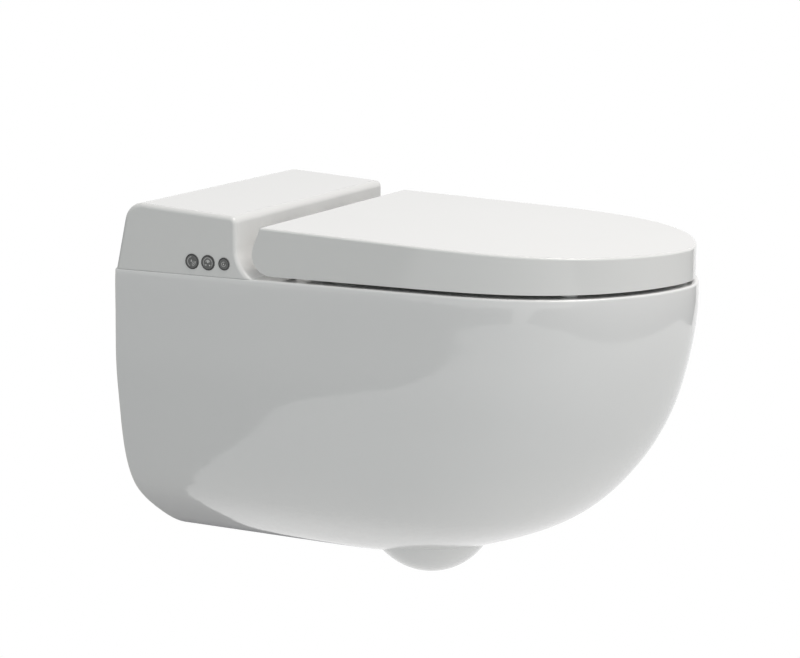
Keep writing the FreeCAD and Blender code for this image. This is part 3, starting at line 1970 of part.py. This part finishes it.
os.makedirs("parts", exist_ok=True)
for item in parts:
    item.Shape.exportStep(f"parts/{item.Label}.step")
    box = item.Shape.BoundBox
    print(
        f"{item.Label}: {len(item.Shape.Solids)} solid(s), {item.Shape.Volume / 1000:.1f} cm3,"
        f" x {box.XMin:.1f}..{box.XMax:.1f}, y {box.YMin:.1f}..{box.YMax:.1f},"
        f" z {box.ZMin:.1f}..{box.ZMax:.1f}"
    )
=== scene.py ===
"""Looks of the wall-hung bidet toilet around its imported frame, in metres, Z up."""

import math

import bmesh
import bpy
from mathutils import Matrix, Vector


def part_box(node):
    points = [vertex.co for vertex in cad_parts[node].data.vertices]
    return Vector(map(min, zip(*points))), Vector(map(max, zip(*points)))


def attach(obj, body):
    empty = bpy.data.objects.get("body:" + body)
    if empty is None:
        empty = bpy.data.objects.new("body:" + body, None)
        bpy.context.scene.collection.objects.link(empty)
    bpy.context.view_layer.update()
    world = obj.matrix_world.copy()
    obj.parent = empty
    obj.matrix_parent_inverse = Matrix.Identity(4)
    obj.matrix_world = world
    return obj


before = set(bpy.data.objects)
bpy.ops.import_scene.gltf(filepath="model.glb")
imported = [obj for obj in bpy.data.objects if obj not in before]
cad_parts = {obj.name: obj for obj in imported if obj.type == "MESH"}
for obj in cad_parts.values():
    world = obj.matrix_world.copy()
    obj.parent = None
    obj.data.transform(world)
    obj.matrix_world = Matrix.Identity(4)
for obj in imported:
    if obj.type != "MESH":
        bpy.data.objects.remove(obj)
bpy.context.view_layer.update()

MM = 0.001
WHITE = (1.0, 1.0, 1.0, 1.0)

# Camera, found from the edges of the object in the photograph
CAMERA_TARGET = Vector((0, -277.1, -1.3)) * MM
CAMERA_AZIMUTH = math.radians(-64.154)
CAMERA_ELEVATION = math.radians(11.27)
CAMERA_DISTANCE = 2432 * MM
CAMERA_LENS = 91.98
CAMERA_SENSOR = 36
CAMERA_NEAR = 50 * MM

# Studio
FLOOR_LEVEL = -650 * MM
FLOOR_HALF = 6.0
FLOOR_ROUGH = 0.9
FLOOR_SHINE = 0.1
WORLD_LEVEL = 0.34
WORLD_TONE = (0.965, 1.0, 1.0, 1.0)
FLOOR_TONE = (0.815, 0.815, 0.81, 1.0)
FLAG_RISE = 5 * MM
FLAG_TONE = (0.2, 0.2, 0.21, 1.0)
# Dull sheets on the floor that only gloss shows, corners in metres
FLAG_BEHIND = (
    (-0.3, 0.2), (-0.66, 0.29), (-1.26, 0.47), (-1.63, 0.52), (-2.11, 0.64), (-3.2, 0.88), (-3.9, 0.9),
    (-4.35, 0.4), (-4.5, -0.3), (-4.6, -1.2), (-40, -8), (-40, 40), (20, 40), (1, 0.2),
)
FLAG_AHEAD = (
    (-4.4, -1.9), (-40, -20), (-40, -40), (40, -40), (40, -9), (4, -1.3), (2.4, -1.5), (1.6, -2.6),
    (-2.4, -2.6),
)
# Softboxes: name, place, point they face, width, height, power in watts, tone
LAMPS = (
    ("top_box", (-0.2, -1.2, 2.1), (0, -0.3, 0), 1.1, 1.1, 27, (1, 0.955, 0.93)),
    ("front_box", (-1.8, -2.6, 1.0), (0, -0.3, 0), 2.0, 2.0, 10, (0.98, 1, 1)),
    ("low_box", (0.4, -2.1, -0.58), (0, -0.5, -0.1), 1.6, 0.9, 3.9, (1, 0.985, 0.96)),
    ("side_box", (-2.4, -0.6, 0.6), (0, -0.3, 0), 2.0, 2.0, 3.0, (0.94, 1, 1)),
)
# A softbox dimmer than white would show as a dark panel in gloss, so only a brighter one shows there
MIRRORED_FROM = 1


def make_camera():
    """The camera at the photograph's place."""
    data = bpy.data.cameras.new("view")
    data.lens = CAMERA_LENS
    data.sensor_width = CAMERA_SENSOR
    data.clip_start = CAMERA_NEAR
    camera = bpy.data.objects.new("view", data)
    bpy.context.scene.collection.objects.link(camera)
    back = Vector(
        (
            math.sin(CAMERA_AZIMUTH) * math.cos(CAMERA_ELEVATION),
            -math.cos(CAMERA_AZIMUTH) * math.cos(CAMERA_ELEVATION),
            math.sin(CAMERA_ELEVATION),
        )
    )
    camera.location = CAMERA_TARGET + back * CAMERA_DISTANCE
    camera.rotation_euler = back.to_track_quat("Z", "Y").to_euler()
    bpy.context.scene.camera = camera


def make_lamp(name, place, aim, width, height, power, tone):
    """A rectangular softbox that faces a point."""
    data = bpy.data.lights.new(name, "AREA")
    data.shape = "RECTANGLE"
    data.size = width
    data.size_y = height
    data.energy = power
    data.color = tone
    lamp = bpy.data.objects.new(name, data)
    bpy.context.scene.collection.objects.link(lamp)
    lamp.location = place
    lamp.rotation_euler = (Vector(place) - Vector(aim)).to_track_quat("Z", "Y").to_euler()
    lamp.visible_glossy = power / (math.pi * width * height) > MIRRORED_FROM


def seen_white(tree, shader, output):
    """Show plain white to the camera and to mirrors and glass, and the shader to all other light."""
    path = tree.nodes.new("ShaderNodeLightPath")
    seen = path.outputs["Is Camera Ray"]
    for ray in ("Is Glossy Ray", "Is Transmission Ray"):
        either = tree.nodes.new("ShaderNodeMath")
        either.operation = "MAXIMUM"
        tree.links.new(seen, either.inputs[0])
        tree.links.new(path.outputs[ray], either.inputs[1])
        seen = either.outputs[0]
    glow = tree.nodes.new("ShaderNodeEmission" if output.type != "OUTPUT_WORLD" else "ShaderNodeBackground")
    glow.inputs["Color"].default_value = WHITE
    glow.inputs["Strength"].default_value = 1
    mix = tree.nodes.new("ShaderNodeMixShader")
    tree.links.new(seen, mix.inputs[0])
    tree.links.new(shader.outputs[0], mix.inputs[1])
    tree.links.new(glow.outputs[0], mix.inputs[2])
    tree.links.new(mix.outputs[0], output.inputs[0])


def make_world():
    world = bpy.data.worlds.new("studio")
    bpy.context.scene.world = world
    world.use_nodes = True
    tree = world.node_tree
    sky = tree.nodes["Background"]
    sky.inputs["Color"].default_value = WORLD_TONE
    sky.inputs["Strength"].default_value = WORLD_LEVEL
    seen_white(tree, sky, tree.nodes["World Output"])


def make_flag(name, corners):
    """A dull sheet just over the floor that only gloss shows."""
    mesh = bpy.data.meshes.new(name)
    level = FLOOR_LEVEL + FLAG_RISE
    mesh.from_pydata([(x, y, level) for x, y in corners], [], [tuple(range(len(corners)))])
    sheet = bpy.data.objects.new(name, mesh)
    bpy.context.scene.collection.objects.link(sheet)
    material = bpy.data.materials.new(name)
    material.use_nodes = True
    tree = material.node_tree
    glow = tree.nodes.new("ShaderNodeEmission")
    glow.inputs["Color"].default_value = FLAG_TONE
    tree.links.new(glow.outputs[0], tree.nodes["Material Output"].inputs[0])
    mesh.materials.append(material)
    for ray in ("camera", "diffuse", "transmission", "shadow", "volume_scatter"):
        setattr(sheet, f"visible_{ray}", False)


def make_floor():
    """A pale floor well below the pan, which hangs on a wall."""
    mesh = bpy.data.meshes.new("floor")
    half = FLOOR_HALF
    corners = [(-half, -half, 0), (half, -half, 0), (half, half, 0), (-half, half, 0)]
    mesh.from_pydata([Vector(c) + Vector((0, 0, FLOOR_LEVEL)) for c in corners], [], [(0, 1, 2, 3)])
    floor = bpy.data.objects.new("floor", mesh)
    bpy.context.scene.collection.objects.link(floor)
    material = bpy.data.materials.new("floor_paint")
    material.use_nodes = True
    tree = material.node_tree
    paint = tree.nodes["Principled BSDF"]
    paint.inputs["Base Color"].default_value = FLOOR_TONE
    paint.inputs["Roughness"].default_value = FLOOR_ROUGH
    paint.inputs["Specular IOR Level"].default_value = FLOOR_SHINE
    seen_white(tree, paint, tree.nodes["Material Output"])
    mesh.materials.append(material)


make_camera()
make_world()
make_floor()
make_flag("flag_behind", FLAG_BEHIND)
make_flag("flag_ahead", FLAG_AHEAD)
for lamp in LAMPS:
    make_lamp(*lamp)
bpy.context.scene.view_settings.view_transform = "Standard"


# Shader groups

CLOUD_SCALE = 8.0
CLOUD_DETAIL = 3.0
# The ground wall face starts and is full at these distances from the wall, in millimetres
GROUND_FROM = -0.9
GROUND_TO = -0.3
BARE_CERAMIC = (0.78, 0.76, 0.72, 1.0)


def new_group(name, inputs, outputs):
    """A shader node group with named number inputs and outputs."""
    tree = bpy.data.node_groups.new(name, "ShaderNodeTree")
    for label, kind, default in inputs:
        socket = tree.interface.new_socket(label, in_out="INPUT", socket_type=kind)
        socket.default_value = default
    for label, kind in outputs:
        tree.interface.new_socket(label, in_out="OUTPUT", socket_type=kind)
    return tree, tree.nodes.new("NodeGroupInput"), tree.nodes.new("NodeGroupOutput")


def noise_on_object(tree, scale_from, detail, stretch=(1, 1, 1)):
    """Noise on the piece's own coordinates."""
    where = tree.nodes.new("ShaderNodeTexCoord")
    turn = tree.nodes.new("ShaderNodeMapping")
    turn.inputs["Scale"].default_value = stretch
    noise = tree.nodes.new("ShaderNodeTexNoise")
    noise.inputs["Detail"].default_value = detail
    tree.links.new(where.outputs["Object"], turn.inputs["Vector"])
    tree.links.new(turn.outputs["Vector"], noise.inputs["Vector"])
    tree.links.new(scale_from, noise.inputs["Scale"])
    return noise


def two_tone(tree, mask, first, second):
    """A colour between two, by a mask."""
    mix = tree.nodes.new("ShaderNodeMix")
    mix.data_type = "RGBA"
    tree.links.new(mask, mix.inputs["Factor"])
    tree.links.new(first, mix.inputs["A"])
    tree.links.new(second, mix.inputs["B"])
    return mix.outputs["Result"]


def in_range(tree, value, low, high):
    """A mask from 0 to 1 spread to a range."""
    spread = tree.nodes.new("ShaderNodeMapRange")
    tree.links.new(value, spread.inputs["Value"])
    tree.links.new(low, spread.inputs["To Min"])
    tree.links.new(high, spread.inputs["To Max"])
    return spread.outputs["Result"]


def build_surface_group(name, detail, stretch=(1, 1, 1)):
    """Cloudy tone, uneven gloss and a fine relief on one surface."""
    tree, given, found = new_group(
        name,
        [
            ("Tone A", "NodeSocketColor", WHITE),
            ("Tone B", "NodeSocketColor", WHITE),
            ("Cloud Scale", "NodeSocketFloat", CLOUD_SCALE),
            ("Grain Scale", "NodeSocketFloat", 600.0),
            ("Rough Low", "NodeSocketFloat", 0.1),
            ("Rough High", "NodeSocketFloat", 0.2),
        ],
        [("Color", "NodeSocketColor"), ("Roughness", "NodeSocketFloat"), ("Height", "NodeSocketFloat")],
    )
    clouds = noise_on_object(tree, given.outputs["Cloud Scale"], CLOUD_DETAIL)
    grain = noise_on_object(tree, given.outputs["Grain Scale"], detail, stretch)
    colour = two_tone(tree, clouds.outputs["Fac"], given.outputs["Tone A"], given.outputs["Tone B"])
    tree.links.new(colour, found.inputs["Color"])
    rough = in_range(tree, clouds.outputs["Fac"], given.outputs["Rough Low"], given.outputs["Rough High"])
    tree.links.new(rough, found.inputs["Roughness"])
    tree.links.new(grain.outputs["Fac"], found.inputs["Height"])
    return tree


def build_wall_face_group():
    """Bare ground ceramic on the flat back that stands on the wall, glaze everywhere else."""
    tree, given, found = new_group(
        "ground_wall_face",
        [
            ("Glaze", "NodeSocketColor", WHITE),
            ("Glaze Rough", "NodeSocketFloat", 0.1),
            ("Bare", "NodeSocketColor", WHITE),
            ("Bare Rough", "NodeSocketFloat", 0.6),
            ("Glaze Coat", "NodeSocketFloat", 0.3),
        ],
        [("Color", "NodeSocketColor"), ("Roughness", "NodeSocketFloat"), ("Coat", "NodeSocketFloat")],
    )
    where = tree.nodes.new("ShaderNodeTexCoord")
    apart = tree.nodes.new("ShaderNodeSeparateXYZ")
    near = tree.nodes.new("ShaderNodeMapRange")
    near.inputs["From Min"].default_value = GROUND_FROM * MM
    near.inputs["From Max"].default_value = GROUND_TO * MM
    tree.links.new(where.outputs["Object"], apart.inputs[0])
    tree.links.new(apart.outputs["Y"], near.inputs["Value"])
    mask = near.outputs["Result"]
    colour = two_tone(tree, mask, given.outputs["Glaze"], given.outputs["Bare"])
    tree.links.new(colour, found.inputs["Color"])
    rough = in_range(tree, mask, given.outputs["Glaze Rough"], given.outputs["Bare Rough"])
    tree.links.new(rough, found.inputs["Roughness"])
    thin = tree.nodes.new("ShaderNodeMapRange")
    thin.inputs["To Max"].default_value = 0
    tree.links.new(mask, thin.inputs["Value"])
    tree.links.new(given.outputs["Glaze Coat"], thin.inputs["To Min"])
    tree.links.new(thin.outputs["Result"], found.inputs["Coat"])
    return tree


SURFACE = build_surface_group("cloud_and_grain", 2.0)
BRUSHED = build_surface_group("brushed_lines", 1.0, (0.04, 1, 1))


def finish(name, tones, rough, grain, relief, metal=0.0, group=SURFACE):
    """A material from the surface group: two tones, a roughness range and a relief in millimetres."""
    material = bpy.data.materials.new(name)
    material.use_nodes = True
    tree = material.node_tree
    shader = tree.nodes["Principled BSDF"]
    surface = tree.nodes.new("ShaderNodeGroup")
    surface.node_tree = group
    surface.inputs["Tone A"].default_value = (*tones[0], 1)
    surface.inputs["Tone B"].default_value = (*tones[1], 1)
    surface.inputs["Cloud Scale"].default_value = CLOUD_SCALE
    surface.inputs["Grain Scale"].default_value = grain
    surface.inputs["Rough Low"].default_value = rough[0]
    surface.inputs["Rough High"].default_value = rough[1]
    bump = tree.nodes.new("ShaderNodeBump")
    bump.inputs["Strength"].default_value = 1
    bump.inputs["Distance"].default_value = relief * MM
    tree.links.new(surface.outputs["Color"], shader.inputs["Base Color"])
    tree.links.new(surface.outputs["Roughness"], shader.inputs["Roughness"])
    tree.links.new(surface.outputs["Height"], bump.inputs["Height"])
    tree.links.new(bump.outputs["Normal"], shader.inputs["Normal"])
    shader.inputs["Metallic"].default_value = metal
    material.diffuse_color = (*tones[0], 1)
    return material


def dress(material, *nodes):
    """Give CAD nodes their material."""
    for name in nodes:
        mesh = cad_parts[name].data
        mesh.materials.clear()
        mesh.materials.append(material)


def bare_the_wall_face(material, coat):
    """Lay the ground wall face between a glaze's surface group and its shader."""
    tree = material.node_tree
    shader = tree.nodes["Principled BSDF"]
    face = tree.nodes.new("ShaderNodeGroup")
    face.node_tree = build_wall_face_group()
    face.inputs["Bare"].default_value = BARE_CERAMIC
    face.inputs["Glaze Coat"].default_value = coat
    for given, socket in (("Glaze", "Base Color"), ("Glaze Rough", "Roughness")):
        tree.links.new(shader.inputs[socket].links[0].from_socket, face.inputs[given])
    tree.links.new(face.outputs["Color"], shader.inputs["Base Color"])
    tree.links.new(face.outputs["Roughness"], shader.inputs["Roughness"])
    tree.links.new(face.outputs["Coat"], shader.inputs["Coat Weight"])
    return material


PAN_NODES = [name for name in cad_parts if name.startswith("pan_")]
GLAZE_COAT = 0.3
glaze = finish("glazed_white", ((0.86, 0.86, 0.86), (0.88, 0.88, 0.875)), (0.05, 0.09), 60, 0.02)
dress(bare_the_wall_face(glaze, GLAZE_COAT), *PAN_NODES)
dress(
    finish("gloss_shell", ((0.87, 0.87, 0.86), (0.89, 0.888, 0.878)), (0.06, 0.1), 900, 0.002),
    "housing_cover", "lid_shell", "seat_ring",
)
dress(
    finish("matt_white", ((0.7, 0.7, 0.7), (0.74, 0.74, 0.73)), (0.45, 0.55), 1400, 0.01),
    "housing_base", "nozzle_guide", "button_holder", "inlet_valve", "nozzle_rack", "nozzle_pinion",
)
dress(
    finish("soft_pad", ((0.75, 0.75, 0.74), (0.8, 0.8, 0.79)), (0.4, 0.5), 800, 0.01),
    "seat_bumpers", "lid_bumpers",
)
dress(
    finish("black_rubber", ((0.02, 0.02, 0.02), (0.03, 0.03, 0.03)), (0.55, 0.7), 900, 0.02),
    "flush_inlet_seal",
)
dress(
    finish("grey_sleeve", ((0.2, 0.2, 0.21), (0.25, 0.25, 0.26)), (0.45, 0.6), 900, 0.01),
    "fixing_sleeves", "hinge_damper_right", "hinge_damper_left",
)
dress(
    finish("stainless", ((0.6, 0.6, 0.62), (0.66, 0.66, 0.67)), (0.22, 0.32), 900, 0.004, 1.0, BRUSHED),
    "cover_screws", "base_bolts", "hinge_bolts", "hinge_bracket_right", "hinge_bracket_left",
    "hinge_pin_right", "hinge_pin_left", "nozzle_motor",
)
dress(
    finish("nozzle_white", ((0.84, 0.84, 0.84), (0.87, 0.87, 0.87)), (0.12, 0.2), 900, 0.003),
    "nozzle_wand", "nozzle_tip",
)
dress(
    finish("black_case", ((0.02, 0.02, 0.022), (0.03, 0.03, 0.032)), (0.4, 0.55), 1400, 0.015),
    "water_heater", "water_pump", "power_supply", "cable_gland",
)
dress(
    finish("brass_fitting", ((0.66, 0.5, 0.24), (0.72, 0.56, 0.28)), (0.25, 0.35), 900, 0.004, 1.0, BRUSHED),
    "water_inlet_fitting",
)
dress(
    finish("hose_rubber", ((0.5, 0.5, 0.49), (0.55, 0.55, 0.54)), (0.45, 0.6), 900, 0.01),
    "heater_inlet_hose", "pump_feed_hose",
)
dress(
    finish("board_green", ((0.02, 0.12, 0.05), (0.03, 0.16, 0.07)), (0.3, 0.45), 900, 0.01),
    "control_board", "switch_board",
)
dress(
    finish("button_grey", ((0.17, 0.17, 0.168), (0.19, 0.19, 0.188)), (0.28, 0.36), 1500, 0.006),
    "button_1", "button_2", "button_3",
)

# Raised marks and rims on the buttons

BUTTON_BODIES = {"button_1": "button_near_wall", "button_2": "button_middle", "button_3": "button_front"}
BUTTON_LIP = 1.2
RIM_INSET = 0.65
RIM_BAR = (1.15, 0.4)
MARK_BAR = (0.62, 0.4)
BAR_STEPS = 48
BAR_SIDES = 12
CROWN_INSET = 0.7
DROP_NARROWING = 0.35
DROP_SHARPNESS = 3
CROWN_LEVELS = (-0.15, 0.12, 0.2)
# Each mark: arcs as (middle, count, first radius, step, start, sweep), dots as (middle, radius, point)
MARKS = {
    "button_1": (
        [((0, 0), 1, 5.6, 0, 95, 150), ((-0.6, 0.5), 3, 2.3, 1.6, -78, 80)],
        [((-0.6, 0.6), 1.0, 1.9)],
    ),
    "button_2": (
        [((0, 0), 1, 5.7, 0, -35, 250), ((0, 0.6), 1, 2.5, 0, 0, 180)],
        [((0, 1.3), 1.5, 1.0), ((-2.5, -2.7), 0.95, 1.0), ((2.4, -3.0), 0.95, 1.0)],
    ),
    "button_3": ([((-0.3, -0.3), 1, 2.6, 0, 60, 300)], [((-0.3, -0.5), 0.8, 1.7)]),
}


def build_bars():
    """Nested arcs of one raised bar, or a ring when closed."""
    tree = bpy.data.node_groups.new("nested_bars", "GeometryNodeTree")
    for label, kind in (
        ("Count", "NodeSocketInt"), ("Radius", "NodeSocketFloat"), ("Step", "NodeSocketFloat"),
        ("Start", "NodeSocketFloat"), ("Sweep", "NodeSocketFloat"), ("Closed", "NodeSocketBool"),
        ("Bar Width", "NodeSocketFloat"), ("Bar Height", "NodeSocketFloat"), ("Finish", "NodeSocketMaterial"),
    ):
        tree.interface.new_socket(label, in_out="INPUT", socket_type=kind)
    tree.interface.new_socket("Bars", in_out="OUTPUT", socket_type="NodeSocketGeometry")
    given, found = tree.nodes.new("NodeGroupInput"), tree.nodes.new("NodeGroupOutput")

    def node(kind, **sockets):
        made = tree.nodes.new(kind)
        for label, value in sockets.items():
            socket = made.inputs[label.replace("_", " ")]
            if isinstance(value, bpy.types.NodeSocket):
                tree.links.new(value, socket)
            else:
                socket.default_value = value
        return made

    places = node("GeometryNodeMeshLine", Count=given.outputs["Count"], Offset=(0, 0, 0))
    arc = node(
        "GeometryNodeCurveArc", Resolution=BAR_STEPS, Radius=1.0,
        Start_Angle=given.outputs["Start"], Sweep_Angle=given.outputs["Sweep"],
    )
    looped = node(
        "GeometryNodeSetSplineCyclic", Geometry=arc.outputs["Curve"], Cyclic=given.outputs["Closed"]
    )
    size_of = tree.nodes.new("ShaderNodeMath")
    size_of.operation = "MULTIPLY_ADD"
    tree.links.new(tree.nodes.new("GeometryNodeInputIndex").outputs[0], size_of.inputs[0])
    tree.links.new(given.outputs["Step"], size_of.inputs[1])
    tree.links.new(given.outputs["Radius"], size_of.inputs[2])
    nested = node(
        "GeometryNodeInstanceOnPoints", Points=places.outputs[0],
        Instance=looped.outputs[0], Scale=size_of.outputs[0],
    )
    real = node("GeometryNodeRealizeInstances", Geometry=nested.outputs[0])
    upright = node("GeometryNodeSetCurveNormal", Curve=real.outputs[0])
    upright.mode = "Z_UP"
    section = node("GeometryNodeCurvePrimitiveCircle", Resolution=BAR_SIDES, Radius=0.5)
    flat = tree.nodes.new("ShaderNodeCombineXYZ")
    tree.links.new(given.outputs["Bar Width"], flat.inputs["X"])
    tree.links.new(given.outputs["Bar Height"], flat.inputs["Y"])
    oval = node("GeometryNodeTransform", Geometry=section.outputs["Curve"], Scale=flat.outputs[0])
    bars = node(
        "GeometryNodeCurveToMesh", Curve=upright.outputs[0], Profile_Curve=oval.outputs[0], Fill_Caps=True
    )
    faced = node("GeometryNodeSetMaterial", Geometry=bars.outputs[0], Material=given.outputs["Finish"])
    tree.links.new(faced.outputs[0], found.inputs["Bars"])
    return tree


BARS = build_bars()


def bars_mesh(material, count, radius, step, start, sweep, closed, bar):
    """A plain mesh of nested bars, in millimetres, flat on XY."""
    holder = bpy.data.objects.new("bars", bpy.data.meshes.new("bars"))
    bpy.context.scene.collection.objects.link(holder)
    modifier = holder.modifiers.new("bars", "NODES")
    modifier.node_group = BARS
    values = {
        "Count": count, "Radius": float(radius), "Step": float(step), "Start": math.radians(start),
        "Sweep": math.radians(sweep), "Closed": closed, "Bar Width": bar[0], "Bar Height": bar[1],
        "Finish": material,
    }
    for item in BARS.interface.items_tree:
        if item.in_out == "INPUT":
            modifier[item.identifier] = values[item.name]
    bpy.context.view_layer.update()
    mesh = bpy.data.meshes.new_from_object(holder.evaluated_get(bpy.context.evaluated_depsgraph_get()))
    holder.modifiers.clear()
    bpy.data.objects.remove(holder)
    return mesh


def add_crowned(shape, middle, radius, point):
    """A small crowned drop, pointed upwards where point is over 1."""
    outline = []
    for step in range(BAR_STEPS // 2):
        turn = 4 * math.pi * step / BAR_STEPS
        rise = math.sin(turn)
        stretch = 1 + (point - 1) * max(rise, 0) ** DROP_SHARPNESS
        narrow = 1 - DROP_NARROWING * (point - 1) * max(rise, 0)
        outline.append((radius * math.cos(turn) * narrow, radius * rise * stretch))
    rings = []
    for level, share in zip(CROWN_LEVELS, (1, 1, CROWN_INSET)):
        ring = [(middle[0] + x * share, middle[1] + y * share, level) for x, y in outline]
        rings.append([shape.verts.new(corner) for corner in ring])
    for low, high in zip(rings, rings[1:]):
        for i in range(len(low)):
            j = (i + 1) % len(low)
            shape.faces.new((low[i], low[j], high[j], high[i]))
    shape.faces.new(rings[-1])
    shape.faces.new(rings[0][::-1])


def on_button(name, shape, node, material):
    """A finished piece on a button's face, from a flat shape in millimetres."""
    low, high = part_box(node)
    face = Matrix(
        (
            (0, 0, -MM, low.x),
            (-MM, 0, 0, (low.y + high.y) / 2),
            (0, MM, 0, (low.z + high.z) / 2),
            (0, 0, 0, 1),
        )
    )
    bmesh.ops.transform(shape, matrix=face, verts=shape.verts)
    mesh = bpy.data.meshes.new(name)
    shape.to_mesh(mesh)
    shape.free()
    mesh.materials.clear()
    mesh.materials.append(material)
    mesh.shade_smooth()
    piece = bpy.data.objects.new(name, mesh)
    bpy.context.scene.collection.objects.link(piece)
    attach(piece, BUTTON_BODIES[node])


def take_mesh(shape, mesh, middle=(0, 0)):
    """Add a flat mesh to a shape at a place."""
    mesh.transform(Matrix.Translation((*middle, 0)))
    shape.from_mesh(mesh)
    bpy.data.meshes.remove(mesh)


def make_button_faces():
    light = finish("mark_grey", ((0.62, 0.62, 0.61), (0.68, 0.68, 0.67)), (0.3, 0.4), 1500, 0.004)
    # The ring at the edge of each button cap is near-black, darker than the button around it
    dark = finish("rim_grey", ((0.05, 0.05, 0.05), (0.065, 0.065, 0.065)), (0.22, 0.3), 1500, 0.004)
    for node, (arcs, dots) in MARKS.items():
        low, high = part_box(node)
        radius = (high.z - low.z) / 2 / MM - BUTTON_LIP
        rim = bmesh.new()
        sweep = 360 * (BAR_STEPS - 1) / BAR_STEPS
        take_mesh(rim, bars_mesh(dark, 1, radius - RIM_INSET, 0, 0, sweep, True, RIM_BAR))
        on_button(f"{node}_rim", rim, node, dark)
        mark = bmesh.new()
        for middle, count, first, step, start, turn in arcs:
            take_mesh(mark, bars_mesh(light, count, first, step, start, turn, False, MARK_BAR), middle)
        for middle, size, point in dots:
            add_crowned(mark, middle, size, point)
        on_button(f"{node}_mark", mark, node, light)


make_button_faces()
